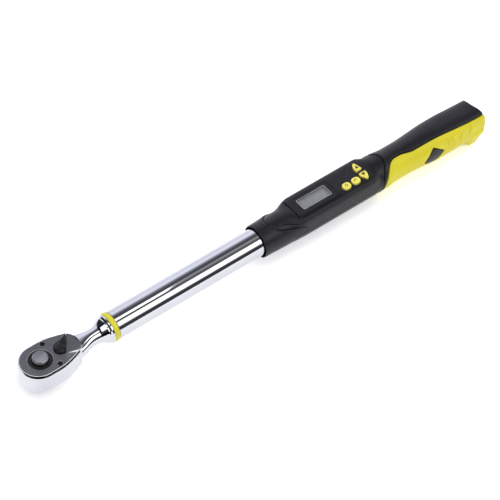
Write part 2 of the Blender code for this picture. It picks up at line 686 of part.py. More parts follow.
def make_electronics(board_green, black, rubber):
    """Circuit board, its screws, the rubber key mat and the buzzer."""
    board = to_object("circuit_board", prism(rounded_rectangle(286.5, 374.0, -12.8, 12.8, 1.0, 2),
                                             BOARD_Z, BOARD_Z + 1.6), board_green)
    for number, side in ((1, 1), (2, -1)):
        centre = (335.6, side * 11.0, 0)
        cut(board, disc(1.3, 0.0, 20.0, centre=centre, steps=8))
        profile = [(0, 4.9), (1.9, 4.9), (1.9, BOARD_Z - 0.1), (0.9, BOARD_Z - 0.1), (0.9, 11.6), (0, 11.6)]
        screw = to_object(f"board_screw_{number}", lathe(profile, centre=centre, steps=12), black)
        cut(screw, disc(0.9, 4.0, 5.5, centre=centre, steps=6))
    sheet = prism(rounded_rectangle(338.0, 373.5, -12.4, 10.4, 1.5, 2), 8.5, 9.6)
    mat = to_object("keypad_mat", sheet, rubber)
    for outline in KEYS.values():
        cx = sum(x for x, _ in outline) / len(outline)
        cy = sum(y for _, y in outline) / len(outline)
        join(mat, lathe([(0, 9.0), (3.2, 9.0), (2.0, 10.8), (0, 10.8)], centre=(cx, cy, 0), steps=10))
    buzzer = lathe([(0, 2.2), (5.0, 2.2), (5.0, 6.3), (0, 6.3)], centre=(352.0, 0, 0), steps=20)
    to_object("buzzer", buzzer, black)


def make_keys(key_yellow):
    """Four keys: a flange under the deck, a cap through it and a rounded top."""
    for name, outline in KEYS.items():
        cx = sum(x for x, _ in outline) / len(outline)
        cy = sum(y for _, y in outline) / len(outline)
        levels = [(0.4, 11.6), (0.4, 12.2), (0.0, 12.25), (0.0, KEY_TOP - 0.6), (-0.25, KEY_TOP - 0.2),
                  (-0.8, KEY_TOP)]
        rings = [[(x, y, z) for x, y in grown(outline, by)] for by, z in levels]
        to_object(name, loft(rings), key_yellow, (cx, cy, KEY_TOP))


# ---------------------------------------------------------------- grip

def grip_round(x):
    """Reach of the grip without its toe: a waist behind the collar, then a full palm swell."""
    waist = 16.9 + 1.2 * smooth_step((402.0 - x) / 14.0)
    swell = 2.2 * smooth_step((x - 415.0) / 42.0)
    taper = 1.8 * smooth_step((x - 468.0) / 38.0)
    return waist + swell - taper


def grip_squareness(x):
    """0 where the grip is round, at the waist, to 1 where it is a rounded square, in the palm."""
    return smooth_step((x - 420.0) / 50.0)


def grip_plain(x, angle):
    """Skin of the grip without its toe."""
    plain = grip_round(x)
    s, c = abs(math.sin(angle)), abs(math.cos(angle))
    square = plain / GRIP_REACH * (s ** GRIP_POWER + c ** GRIP_POWER) ** (-1 / GRIP_POWER)
    return plain + (square - plain) * grip_squareness(x)


def skin_floor(x):
    """How far down the core the soft skin may reach."""
    sunk = 0.5 * grip_squareness(x) * (1.0 - 0.8 * smooth_step((x - 475.0) / 25.0))
    return grip_round(x) - sunk


def toe_depth(x):
    """How far the toe reaches below the round grip."""
    return smooth_step((x - 486.0) / 9.5)


def grip_radius(x, angle):
    """Skin of the grip. The toe hangs under its rear end as a blunt wedge."""
    plain = grip_plain(x, angle)
    depth = toe_depth(x)
    if depth <= 0 or math.cos(angle) > -0.2:
        return plain
    s, c = abs(math.sin(angle)), abs(math.cos(angle))
    wedge = min(-TOE_Z / c, (TOE_HALF - TOE_FLARE * TOE_Z) / (s + TOE_FLARE * c))
    rounding = ((c / -TOE_Z) ** 5 + (s / TOE_WIDEST) ** 5) ** (-1 / 5)
    reach = min(wedge, rounding)
    share = depth * smooth_step((-math.cos(angle) - 0.2) / 0.25)
    return plain + max(0.0, reach - plain) * share


def grip_end_x(angle):
    """The end face: it leans back from its top, and is drawn forward to the toe below."""
    c = math.cos(angle)
    drawn = GRIP_X1 + END_LEAN - TOE_X
    return GRIP_X1 - END_LEAN * c - drawn * smooth_step((-c - 0.3) / 0.7)


GRIP_STATIONS = [396.0, 404.0, 415.0, 428.0, 444.0, 468.0, 486.0, 489.5, 492.5, 496.0]


def grip_rings(inset):
    """Rings of the grip's skin drawn in by an inset, from the curved joint to the end face."""
    rings = [around(lambda a: grip_round(collar_x(a)) - inset, lambda a: collar_x(a) + GAP)]
    for x in GRIP_STATIONS:
        rings.append(around(lambda a, x=x: grip_radius(x, a) - inset, lambda a, x=x: x))
    for back, drop in ((1.3, 0.0), (0.7, 0.3), (0.3, 0.8), (0.0, 1.4)):
        rings.append(around(lambda a, b=back, d=drop: grip_radius(grip_end_x(a) - b, a) - inset - d,
                            lambda a, b=back: grip_end_x(a) - b))
    return rings


def seam_angle(x):
    """Angle from the top of the near seam: it climbs steeply from the collar to a crest, then runs level."""
    climb = 86.0 * max(0.0, 1.0 - (x - SKIN_X0) / 21.0) ** 2.2
    crest = 10.5 * smooth_step((x - 408.0) / 17.0) + 13.0 * smooth_step((x - 440.0) / 66.0)
    return 25.5 + climb + crest


def skin_zone(inset, edge):
    """The space of the soft outer skin: from the near seam round the belly to the far seam, an inset deep.
    A positive edge, in millimetres, widens it."""
    rings = []
    steps = 18
    for x in [SKIN_X0 - edge, 384.5, 387.0, 391.0, 396.0] + GRIP_STATIONS[1:6] + [486.0, 516.0]:
        radius = skin_floor(max(x, SKIN_X0)) - inset
        slack = math.degrees(edge / radius)
        start = seam_angle(max(x, SKIN_X0)) - slack
        end = 360.0 - FAR_SEAM - 40.0 * max(0.0, 1.0 - (x - SKIN_X0) / 21.0) ** 2.2 + slack
        angles = [math.radians(start + (end - start) * i / steps) for i in range(steps + 1)]
        inner = [(x, -radius * math.sin(a), radius * math.cos(a)) for a in angles]
        outer = [(x, -34.0 * math.sin(a), 34.0 * math.cos(a)) for a in reversed(angles)]
        rings.append(inner + outer)
    return loft(rings)


def diamond(side, edge):
    """A leaning rhombus through the flank of the grip, grown by an edge."""
    long, tall = DIAMOND_LONG + edge * 1.4, DIAMOND_TALL + edge * 1.4
    lean = 0.18
    corners = [(-long, -lean * long - 1.5), (0.0, tall - 1.5), (long, lean * long - 1.5), (0.0, -tall - 1.5)]
    outer, inner = -side * 30.0, -side * 10.0
    rings = [[(DIAMOND_X + x, y, z) for x, z in corners] for y in (inner, outer)]
    return loft(rings)


def make_grip(plastic, soft):
    """Hard core that shows along the top and in the two diamonds, and the soft skin round it."""
    core = to_object("grip_core", loft(grip_rings(0.1), fans=True), plastic)
    zone = cut(core, skin_zone(SKIN + 0.15, GAP + 0.15))
    skin = to_object("grip_overmold", loft(grip_rings(0.0), fans=True), soft)
    keep_inside(skin, skin_zone(SKIN - GAP, 0.0))
    for side in (1, -1):
        cut(zone, diamond(side, 0.0))
        cut(skin, diamond(side, GAP))
    cut(core, disc(GRIP_BORE_R, 370.0, 520.0, "X"))
    for x, _, _ in BOTTOM_SCREWS[2:]:
        cut(core, disc(1.9, -30.0, 0.0, centre=(x, 0, 0), steps=8))
        cut(skin, disc(3.5, -30.0, 0.0, centre=(x, 0, 0), steps=16))


def make_battery_gear(plastic, wrap, brass, spring_steel, rubber):
    """Liner tube, two cells, their contacts, and the coin-slotted end cap with its seal."""
    to_object("battery_sleeve", tube_along_x(TUBE_BORE_R - GAP, CELL_R + 0.5, 381.5, 491.5, 20), plastic)
    to_object("battery_contact", disc(CELL_R, 383.2, 384.2, "X", steps=20), brass)
    for number in (1, 2):
        x = CELL_X0 + (number - 1) * (CELL_LENGTH + 0.3)
        profile = [(0, x), (2.7, x), (2.7, x + 1.2), (CELL_R - 0.5, x + 1.4), (CELL_R, x + 1.9),
                   (CELL_R, x + CELL_LENGTH - 0.5), (CELL_R - 0.5, x + CELL_LENGTH), (0, x + CELL_LENGTH)]
        to_object(f"battery_{number}", lathe(profile, "X", steps=16), wrap)
    spring_x0 = CELL_X0 + 2 * CELL_LENGTH + 0.6
    spring = coil(4.0, 0.4, spring_x0, CAP_X0 - 0.2, 3.5, "X", taper=1.4, per_turn=8, sides=4)
    to_object("battery_spring", spring, spring_steel)
    x0, x1 = CAP_X0, CAP_X1
    groove = 12.4
    profile = [(0, x0), (CAP_R - 0.6, x0), (CAP_R, x0 + 0.6), (CAP_R, x0 + 2.0), (groove, x0 + 2.0),
               (groove, x0 + 4.4), (CAP_R, x0 + 4.4), (CAP_R, x1 - 1.0), (CAP_R - 1.0, x1), (0, x1)]
    cap = to_object("battery_cap", lathe(profile, "X"), plastic, (x0, 0, 0))
    cut(cap, block(x1 - 2.0, x1 + 5.0, -1.1, 1.1, -9.5, 9.5))
    to_object("cap_seal", tube_along_x(GRIP_BORE_R - 0.2, groove + 0.1, x0 + 2.3, x0 + 4.1, ROUND), rubber)


def main():
    clear_scene()
    chrome = material("chrome", (0.86, 0.87, 0.90), 0.07, 1.0)
    gunmetal = material("gunmetal", (0.20, 0.20, 0.22), 0.32, 1.0)
    oxide = material("black_oxide", (0.03, 0.03, 0.032), 0.38, 0.8)
    satin = material("satin_steel", (0.32, 0.32, 0.34), 0.38, 1.0)
    spring_steel = material("spring_steel", (0.55, 0.56, 0.58), 0.3, 1.0)
    black_plastic = material("black_plastic", (0.028, 0.028, 0.032), 0.45, 0.0)
    rubber = material("black_rubber", (0.02, 0.02, 0.02), 0.7, 0.0)
    soft = material("yellow_rubber", (0.72, 0.62, 0.03), 0.5, 0.0)
    key_yellow = material("key_yellow", (0.85, 0.70, 0.06), 0.4, 0.0)
    ring_yellow = material("ring_yellow", (0.75, 0.62, 0.03), 0.35, 0.0)
    clear = material("clear_window", (0.35, 0.38, 0.40), 0.1, 0.0)
    glass_grey = material("lcd_grey", (0.30, 0.34, 0.34), 0.3, 0.0)
    board_green = material("board_green", (0.02, 0.18, 0.07), 0.5, 0.0)
    brass = material("brass", (0.70, 0.52, 0.22), 0.35, 1.0)
    wrap = material("cell_wrap", (0.10, 0.22, 0.45), 0.35, 0.2)
    foil = material("gauge_foil", (0.75, 0.50, 0.20), 0.4, 0.3)
    make_head(chrome)
    make_plate(gunmetal)
    make_cover_screws(oxide)
    make_drive_gear(oxide)
    make_quick_release(satin, spring_steel)
    make_pawl(spring_steel)
    make_lever(oxide, spring_steel)
    make_tube(chrome, ring_yellow)
    make_beam(spring_steel, oxide, foil)
    make_cable("gauge_cable", [(139.0, -4.7, 0), (146.0, -6.5, 0), (152.0, -9.2, 0), (278.0, -9.2, 0),
                               (286.0, -9.2, 2.5), (292.0, -9.2, 5.6)], 0.8, rubber)
    make_housing(black_plastic)
    make_display(black_plastic, clear, glass_grey)
    make_electronics(board_green, oxide, rubber)
    make_keys(key_yellow)
    make_bottom_screws(oxide)
    make_grip(black_plastic, soft)
    make_battery_gear(black_plastic, wrap, brass, spring_steel, rubber)
    make_cable("battery_cable", [(382.8, 0, 3.0), (379.0, 0, 3.6), (370.0, 0, 5.4)], 0.7, rubber)


main()
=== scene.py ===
import math

import bmesh
import bpy
import numpy as np
from mathutils import Matrix, Vector


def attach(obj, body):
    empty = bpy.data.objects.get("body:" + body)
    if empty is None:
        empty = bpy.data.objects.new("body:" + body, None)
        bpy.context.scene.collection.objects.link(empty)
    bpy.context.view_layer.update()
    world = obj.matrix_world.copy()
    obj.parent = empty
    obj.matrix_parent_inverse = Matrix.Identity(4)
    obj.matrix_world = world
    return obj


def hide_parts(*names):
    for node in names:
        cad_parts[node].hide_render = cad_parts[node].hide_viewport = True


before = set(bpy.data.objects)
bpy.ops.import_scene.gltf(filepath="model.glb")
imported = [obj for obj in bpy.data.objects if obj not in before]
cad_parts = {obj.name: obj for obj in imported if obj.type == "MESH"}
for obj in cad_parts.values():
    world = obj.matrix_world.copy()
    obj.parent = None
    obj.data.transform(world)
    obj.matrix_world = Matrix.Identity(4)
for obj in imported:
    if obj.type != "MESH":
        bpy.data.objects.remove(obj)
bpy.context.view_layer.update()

# Looks of an electronic torque wrench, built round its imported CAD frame. Lengths below are millimetres about
# the axis of the tube; AXIS_Z lifts that axis above the frame's origin, which is the end of the square drive.

MM = 0.001
AXIS_Z = 26.5

# Ratchet head.
NOSE_X = -1.5
HEAD_HALF = 19.5
FLANK_X = 9.0
NECK_X = 58.0
NECK_R = 8.1
HEAD_END_X = 25.8
HEAD_END_R = 16.3
HEAD_BOTTOM = -13.4
HEAD_TOP = 9.4
PLATE_INSET = 1.0
PLATE_TOP = 10.4
RECESS_Z = 8.9
SCREW_X = 11.8
SCREW_Y = 14.0
SCREW_HOLE_R = 1.65
LEVER_X = 20.5
LEVER_REST = 35.0
LEVER_REACH = 14.6
GEAR_BOSS_R = 11.3
GEAR_TIP_R = 14.4
GEAR_ROOT_R = 13.2
GEAR_LOW = -7.0
GEAR_HIGH = 6.6
TEETH = 36
PAWL_HALF_HEIGHT = 5.4
SQUARE = 12.7
SQUARE_TURN = -40.0
BUTTON_R = 7.6
BUTTON_TOP = 14.8
PLUNGER_R = 2.3
PLUNGER_LOW = -22.0
BALL_Z = -20.2
BALL_R = 2.4
BALL_PROUD = 0.9
HEAD_PIN_X = 75.5
BEAM_PIN_X = 255.0
PIN_HOLE_R = 2.3

# Tube and ring.
FLANGE_X = 72.6
FLANGE_R = 14.3
RING_X0 = 72.9
RING_X1 = 78.1
RING_R = 14.5
TUBE_R = 14.0
TUBE_BORE_R = 11.8
TUBE_END_X = 488.0
SLEEVE_BORE_R = 14.3

# Display housing.
HOUSING_X0 = 242.5
RAMP_X0 = 273.0
RAMP_X1 = 292.0
DECK_X1 = 371.0
COLLAR_X0 = 381.0
COLLAR_BULGE = 9.0
DECK_HALF = 18.0
DECK_TOP = 15.5
DECK_LOW = 18.1
DECK_POWER = 6.0
COLLAR_R = 18.1
WALL = 2.2
WINDOW_MILLED = (284.0, 380.0)
SPLIT_Z = -2.0
# Plans of the display frame and its window: two x values and a half width.
BEZEL = (285.4, 333.2, 13.2)
BEZEL_PROUD = 0.3
WINDOW = (295.2, 327.0, 6.1)
KEY_TOP = 16.9
BOTTOM_SCREWS = [("housing_screw_1", 262.0, -16.7), ("housing_screw_2", 372.0, -17.9),
                 ("grip_screw_1", 398.0, -16.9), ("grip_screw_2", 478.0, -17.1)]

# Grip.
GRIP_X1 = 509.05
GRIP_POWER = 2.7
GRIP_REACH = 1.087
END_LEAN = 4.0
# The near top corner of the end face: how far it bulges, its angle from the top and its spread in degrees,
# and how far past GRIP_X1 the face may reach.
CORNER_BULGE = 3.2
CORNER_ANGLE = 66.0
CORNER_SPREAD = 80.0
END_LIMIT = 1.1
TOE_X = 503.5
SKIN_X0 = 383.2
SKIN = 2.2
FAR_SEAM = 62.0
TOE_Z = -25.2
TOE_HALF = 11.0
TOE_FLARE = 0.35
TOE_WIDEST = 17.6
DIAMOND_X = 443.3
CORE_DROP = 0.1
CAP_X0 = 494.0
CAP_X1 = 504.9
CAP_R = 13.6


# ---------------------------------------------------------------- mesh helpers

def smooth_step(value):
    """0 to 1 with level ends, on numbers or arrays."""
    clamped = np.clip(value, 0.0, 1.0)
    return clamped * clamped * (3 - 2 * clamped)


def arc(cx, cy, radius, start, end, steps):
    turns = np.radians(np.linspace(start, end, steps + 1))
    return [(cx + radius * math.cos(t), cy + radius * math.sin(t)) for t in turns]


def turned_about(points, centre, degrees):
    c, s = math.cos(math.radians(degrees)), math.sin(math.radians(degrees))
    return [(centre[0] + (x - centre[0]) * c - (y - centre[1]) * s,
             centre[1] + (x - centre[0]) * s + (y - centre[1]) * c) for x, y in points]


def rounded_rectangle(x0, x1, y0, y1, radius, steps=6):
    corners = [(x1 - radius, y1 - radius, 0), (x0 + radius, y1 - radius, 90),
               (x0 + radius, y0 + radius, 180), (x1 - radius, y0 + radius, 270)]
    return [p for x, y, start in corners for p in arc(x, y, radius, start, start + 90, steps)]


def fillet(points, radius, steps=4, closed=False):
    """The same line of (u, v) points with its corners rounded; radius may be one number or one per point."""
    count = len(points)
    radii = [radius] * count if np.isscalar(radius) else radius
    made = []
    for i, point in enumerate(points):
        if radii[i] <= 0 or (not closed and i in (0, count - 1)):
            made.append(tuple(point))
            continue
        p = np.array(point, float)
        before = np.array(points[i - 1], float) - p
        after = np.array(points[(i + 1) % count], float) - p
        a, b = np.linalg.norm(before), np.linalg.norm(after)
        before, after = before / a, after / b
        reach = min(radii[i], 0.48 * a, 0.48 * b)
        first, last = p + before * reach, p + after * reach
        for k in range(steps + 1):
            t = k / steps
            made.append(tuple((1 - t) ** 2 * first + 2 * t * (1 - t) * p + t * t * last))
    return made


def dense(points, step, closed=False):
    """The same line with points added, so that none are further apart than the step."""
    made = []
    count = len(points)
    for i in range(count if closed else count - 1):
        a, b = np.array(points[i], float), np.array(points[(i + 1) % count], float)
        parts = max(1, int(np.linalg.norm(b - a) / step))
        made += [tuple(a + (b - a) * k / parts) for k in range(parts)]
    return made if closed else made + [tuple(points[-1])]


def to_object(name, bm, mats, smooth=35.0):
    """An object in metres from a mesh in millimetres about the tube's axis."""
    bmesh.ops.remove_doubles(bm, verts=bm.verts, dist=1e-5)
    bmesh.ops.recalc_face_normals(bm, faces=bm.faces)
    bmesh.ops.transform(bm, matrix=Matrix.Scale(MM, 4) @ Matrix.Translation((0, 0, AXIS_Z)), verts=bm.verts)
    mesh = bpy.data.meshes.new(name)
    bm.to_mesh(mesh)
    bm.free()
    made = bpy.data.objects.new(name, mesh)
    bpy.context.scene.collection.objects.link(made)
    for mat in mats if isinstance(mats, (list, tuple)) else [mats]:
        mesh.materials.append(mat)
    shade(made, smooth)
    return made


def shade(obj, angle=35.0):
    obj.data.shade_smooth()
    obj.data.set_sharp_from_angle(angle=math.radians(angle))


def loft(rings, caps=True, wrap=False):
    """A skin over closed rings; capped by flat faces, or with its last ring joined to its first."""
    bm = bmesh.new()
    loops = [[bm.verts.new(p) for p in ring] for ring in rings]
    count = len(loops[0])
    pairs = list(zip(loops, loops[1:]))
    if wrap:
        pairs.append((loops[-1], loops[0]))
    for first, second in pairs:
        for i in range(count):
            j = (i + 1) % count
            bm.faces.new((first[i], first[j], second[j], second[i]))
    if caps and not wrap:
        bm.faces.new(loops[0])
        bm.faces.new(loops[-1])
    return bm


def thick_sheet(outer, inner):
    """A closed solid between two grids of points of the same size."""
    bm = bmesh.new()
    rows, columns = len(outer), len(outer[0])
    sides = [[[bm.verts.new(p) for p in row] for row in grid] for grid in (outer, inner)]
    for grid in sides:
        for i in range(rows - 1):
            for j in range(columns - 1):
                bm.faces.new((grid[i][j], grid[i][j + 1], grid[i + 1][j + 1], grid[i + 1][j]))
    edge = [(0, j) for j in range(columns)] + [(i, columns - 1) for i in range(1, rows)]
    edge += [(rows - 1, j) for j in range(columns - 2, -1, -1)] + [(i, 0) for i in range(rows - 2, 0, -1)]
    for (i, j), (k, m) in zip(edge, edge[1:] + edge[:1]):
        bm.faces.new((sides[0][i][j], sides[0][k][m], sides[1][k][m], sides[1][i][j]))
    return bm


def level(outline, z):
    """A plan outline as a ring at one height."""
    return [(x, y, z) for x, y in outline]


def prism(outline, low, high, chamfer=0.0):
    """An upright prism; a chamfer draws its top outline in by rounding the edge."""
    rings = [level(outline, low)]
    if not chamfer:
        return loft(rings + [level(outline, high)])
    for turn in np.linspace(0, math.pi / 2, 5):
        inset = chamfer * (1 - math.cos(turn))
        rings.append(level(drawn_in(outline, inset), high - chamfer * (1 - math.sin(turn))))
    return loft(rings)


def drawn_in(outline, by):
    """A closed plan outline moved inwards along its own normals."""
    if by == 0:
        return list(outline)
    points = np.array(outline, float)
    ahead, behind = np.roll(points, -1, axis=0), np.roll(points, 1, axis=0)
    run = ahead - behind
    normal = np.stack([run[:, 1], -run[:, 0]], axis=1)
    normal /= np.linalg.norm(normal, axis=1)[:, None]
    area = 0.5 * np.sum(points[:, 0] * ahead[:, 1] - ahead[:, 0] * points[:, 1])
    return [tuple(p) for p in points - normal * by * math.copysign(1.0, area)]


def lathe(profile, axis="Z", centre=(0.0, 0.0, 0.0), steps=64, ring=False):
    """A solid turned from (radius, height) points. A solid's profile leaves out the points on the axis."""
    cx, cy, cz = centre
    turns = [math.tau * (i + 0.5) / steps for i in range(steps)]
    rings = []
    for r, h in profile:
        if axis == "Z":
            rings.append([(cx + r * math.cos(t), cy + r * math.sin(t), cz + h) for t in turns])
        else:
            rings.append([(cx + h, cy - r * math.sin(t), cz + r * math.cos(t)) for t in turns])
    return loft(rings, wrap=ring)


def post(radius, low, high, x=0.0, y=0.0, steps=48):
    """An upright cylinder."""
    return lathe([(radius, low), (radius, high)], centre=(x, y, 0), steps=steps)


def block(x0, x1, y0, y1, z0, z1):
    return prism([(x0, y0), (x1, y0), (x1, y1), (x0, y1)], z0, z1)


def moved(bm, matrix):
    bmesh.ops.transform(bm, matrix=matrix, verts=bm.verts)
    return bm


def carve(obj, bm, operation="DIFFERENCE"):
    """Cuts, joins or intersects a piece with a helper mesh, and keeps the result as the piece's own mesh."""
    helper = to_object("helper", bm, [])
    modifier = obj.modifiers.new("carve", "BOOLEAN")
    modifier.operation = operation
    modifier.solver = "MANIFOLD"
    modifier.object = helper
    graph = bpy.context.evaluated_depsgraph_get()
    mesh = bpy.data.meshes.new_from_object(obj.evaluated_get(graph))
    obj.modifiers.clear()
    old = obj.data
    obj.data = mesh
    bpy.data.meshes.remove(old)
    bpy.data.objects.remove(helper)
    obj.data.name = obj.name
    shade(obj)
    return obj


def merged(target, *others):
    """Adds other pieces' meshes to one piece, with their materials."""
    bm = bmesh.new()
    mats = []
    for obj in (target, *others):
        offset = len(mats)
        mats += list(obj.data.materials)
        start = len(bm.faces)
        bm.from_mesh(obj.data)
        bm.faces.ensure_lookup_table()
        for face in bm.faces[start:]:
            face.material_index += offset
    bm.to_mesh(target.data)
    bm.free()
    for mat in mats[len(target.data.materials):]:
        target.data.materials.append(mat)
    for obj in others:
        bpy.data.objects.remove(obj)
    return target


def piece(obj, body, slot, *nodes):
    """Says which body a piece rides on and the CAD nodes that it stands for; the slot of its finish is not
    used.
    """
    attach(obj, body)
    if nodes:
        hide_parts(*nodes)
    return obj


# ---------------------------------------------------------------- materials

def principled(name, colour, roughness, metallic=0.0, **sockets):
    made = bpy.data.materials.new(name)
    made.use_nodes = True
    shader = made.node_tree.nodes["Principled BSDF"]
    shader.inputs["Base Color"].default_value = (*colour, 1.0)
    shader.inputs["Roughness"].default_value = roughness
    shader.inputs["Metallic"].default_value = metallic
    for socket, value in sockets.items():
        shader.inputs[socket.replace("_", " ")].default_value = value
    made.diffuse_color = (*colour, 1.0)
    return made


def add_node(mat, kind, **inputs):
    """A new node in a material; underscores in an input's name stand for spaces."""
    node = mat.node_tree.nodes.new(kind)
    for name, value in inputs.items():
        node.inputs[name.replace("_", " ")].default_value = value
    return node


def to_shader(mat, output, socket):
    mat.node_tree.links.new(output, mat.node_tree.nodes["Principled BSDF"].inputs[socket])


def place_by_object(mat, node):
    """Lays a texture or a mapping over the object's own coordinates, in metres."""
    where = add_node(mat, "ShaderNodeTexCoord")
    mat.node_tree.links.new(where.outputs["Object"], node.inputs["Vector"])


def noise_field(mat, scale, detail=3.0, stretch=(1, 1, 1)):
    """A noise over the object; returns its value's socket."""
    mapping = add_node(mat, "ShaderNodeMapping", Scale=stretch)
    place_by_object(mat, mapping)
    texture = add_node(mat, "ShaderNodeTexNoise", Scale=scale, Detail=detail)
    mat.node_tree.links.new(mapping.outputs["Vector"], texture.inputs["Vector"])
    return texture.outputs["Fac"]


def vary(mat, field, socket, low, high, start=0.3, end=0.7):
    """Drives roughness or colour between two values from a field."""
    links = mat.node_tree.links
    if socket == "Base Color":
        ramp = add_node(mat, "ShaderNodeValToRGB")
        for stop, position, colour in zip(ramp.color_ramp.elements, (start, end), (low, high)):
            stop.position = position
            stop.color = (*colour, 1.0)
        links.new(field, ramp.inputs["Fac"])
        to_shader(mat, ramp.outputs["Color"], socket)
    else:
        spread = add_node(mat, "ShaderNodeMapRange", From_Min=start, From_Max=end, To_Min=low, To_Max=high)
        links.new(field, spread.inputs["Value"])
        to_shader(mat, spread.outputs["Result"], socket)


def bump(mat, field, strength, distance_mm):
    node = add_node(mat, "ShaderNodeBump", Strength=strength, Distance=distance_mm * MM)
    mat.node_tree.links.new(field, node.inputs["Height"])
    to_shader(mat, node.outputs["Normal"], "Normal")


def scaled(colour, factor):
    return tuple(min(1.0, c * factor) for c in colour)


def grained(name, colour, roughness, metallic, grain_per_m, grain_strength, grain_mm, spread=0.15, **sockets):
    """A finish with fine grain in its relief, and slow changes in colour and roughness."""
    mat = principled(name, colour, roughness, metallic, **sockets)
    slow = noise_field(mat, 45.0, 4.0)
    vary(mat, slow, "Base Color", scaled(colour, 1 - spread), scaled(colour, 1 + spread))
    mid = noise_field(mat, 400.0, 3.0)
    vary(mat, mid, "Roughness", roughness * 0.88, roughness * 1.12)
    bump(mat, noise_field(mat, grain_per_m, 2.0), grain_strength, grain_mm)
    return mat


def make_chrome():
    """Polished plate: nearly a mirror, with a faint haze drawn out along the tube."""
    mat = principled("chrome_plate", (0.60, 0.605, 0.64), 0.05, 1.0)
    haze = noise_field(mat, 500.0, 4.0, (0.06, 1.0, 1.0))
    vary(mat, haze, "Roughness", 0.035, 0.085)
    tint = noise_field(mat, 30.0, 2.0)
    vary(mat, tint, "Base Color", (0.585, 0.59, 0.625), (0.615, 0.62, 0.655))
    return mat


def make_turned(name, colour, roughness):
    """Satin steel with the fine rings that a lathe leaves, about the drive's axis."""
    mat = principled(name, colour, roughness, 1.0)
    wave = add_node(mat, "ShaderNodeTexWave", Scale=420.0, Distortion=0.6)
    wave.wave_type = "RINGS"
    wave.rings_direction = "Z"
    place_by_object(mat, wave)
    bump(mat, wave.outputs["Fac"], 0.12, 0.03)
    speck = noise_field(mat, 900.0, 4.0)
    vary(mat, speck, "Base Color", scaled(colour, 0.82), scaled(colour, 1.15))
    vary(mat, speck, "Roughness", roughness * 0.9, roughness * 1.15)
    return mat


def make_board_green():
    """Solder mask over copper tracks."""
    mat = principled("solder_mask", (0.02, 0.18, 0.07), 0.35)
    tracks = add_node(mat, "ShaderNodeTexBrick", Scale=160.0, Mortar_Size=0.03,
                      Color1=(0.015, 0.14, 0.05, 1.0), Color2=(0.02, 0.17, 0.065, 1.0),
                      Mortar=(0.10, 0.33, 0.12, 1.0))
    place_by_object(mat, tracks)
    to_shader(mat, tracks.outputs["Color"], "Base Color")
    return mat


def make_wrap():
    """Plain sleeve of a cell, without marks."""
    mat = principled("cell_sleeve", (0.10, 0.22, 0.45), 0.32)
    vary(mat, noise_field(mat, 250.0, 3.0), "Base Color", (0.08, 0.18, 0.38), (0.12, 0.26, 0.52))
    bump(mat, noise_field(mat, 1200.0, 2.0), 0.1, 0.05)
    return mat


CHROME = make_chrome()
PLATE = grained("dark_satin_plate", (0.175, 0.175, 0.182), 0.34, 1.0, 2600.0, 0.18, 0.04)
# A brighter metal for the plate's bevelled edge and the hollow's near slope: a painted highlight.
PLATE_PAINTED_HIGHLIGHT = grained("painted_highlight_metal", (0.62, 0.62, 0.66), 0.22, 1.0, 1800.0, 0.08, 0.03)
OXIDE = grained("black_oxide", (0.012, 0.012, 0.014), 0.34, 0.3, 2200.0, 0.25, 0.05, Specular_IOR_Level=0.35)
BUTTON = make_turned("turned_satin_steel", (0.34, 0.34, 0.36), 0.33)
SPRING = grained("spring_steel", (0.55, 0.56, 0.58), 0.28, 1.0, 1500.0, 0.1, 0.03)
HOUSING = grained("fine_grain_plastic", (0.010, 0.010, 0.013), 0.40, 0.0, 2800.0, 0.28, 0.06,
                  Specular_IOR_Level=0.3)
BEZEL_MAT = grained("bezel_plastic", (0.008, 0.008, 0.010), 0.32, 0.0, 3200.0, 0.12, 0.04,
                    Specular_IOR_Level=0.3)
GRIP_BLACK = grained("grip_core_plastic", (0.010, 0.010, 0.013), 0.42, 0.0, 2400.0, 0.3, 0.07,
                     Specular_IOR_Level=0.35)
GRIP_YELLOW = grained("soft_yellow_skin", (0.64, 0.565, 0.009), 0.5, 0.0, 2200.0, 0.3, 0.08, 0.05)
KEY_YELLOW = grained("key_rubber", (0.80, 0.70, 0.115), 0.38, 0.0, 1800.0, 0.12, 0.05, 0.05)
KEY_MARK = grained("key_mark_print", (0.03, 0.03, 0.02), 0.5, 0.0, 1500.0, 0.1, 0.03)
RING_YELLOW = grained("ring_plastic", (0.62, 0.56, 0.02), 0.36, 0.0, 2000.0, 0.15, 0.05, 0.06)
LCD = grained("display_glass", (0.17, 0.18, 0.19), 0.28, 0.0, 900.0, 0.05, 0.02, 0.08)
LCD_EDGE = grained("display_edge", (0.30, 0.30, 0.32), 0.35, 0.0, 1500.0, 0.1, 0.03)
RUBBER = grained("black_rubber", (0.02, 0.02, 0.02), 0.62, 0.0, 1600.0, 0.35, 0.08)
BRASS = grained("stamped_brass", (0.70, 0.52, 0.22), 0.32, 1.0, 1200.0, 0.1, 0.03)
FOIL = grained("gauge_foil", (0.75, 0.50, 0.20), 0.35, 0.4, 1800.0, 0.2, 0.05)
BOARD = make_board_green()
WRAP = make_wrap()


def make_window():
    """Clear acrylic: mostly see-through, with a hard gloss."""
    mat = principled("clear_acrylic", (0.55, 0.57, 0.60), 0.06, 0.0, Alpha=0.10)
    vary(mat, noise_field(mat, 60.0, 2.0), "Roughness", 0.04, 0.09)
    return mat


WINDOW_MAT = make_window()


# ---------------------------------------------------------------- camera, light and floor

ELEVATION = math.radians(48.80)
AZIMUTH = math.radians(37.77)
DISTANCE = 2.6125
AIM = Vector((0.23584, 0.0, 0.02009))


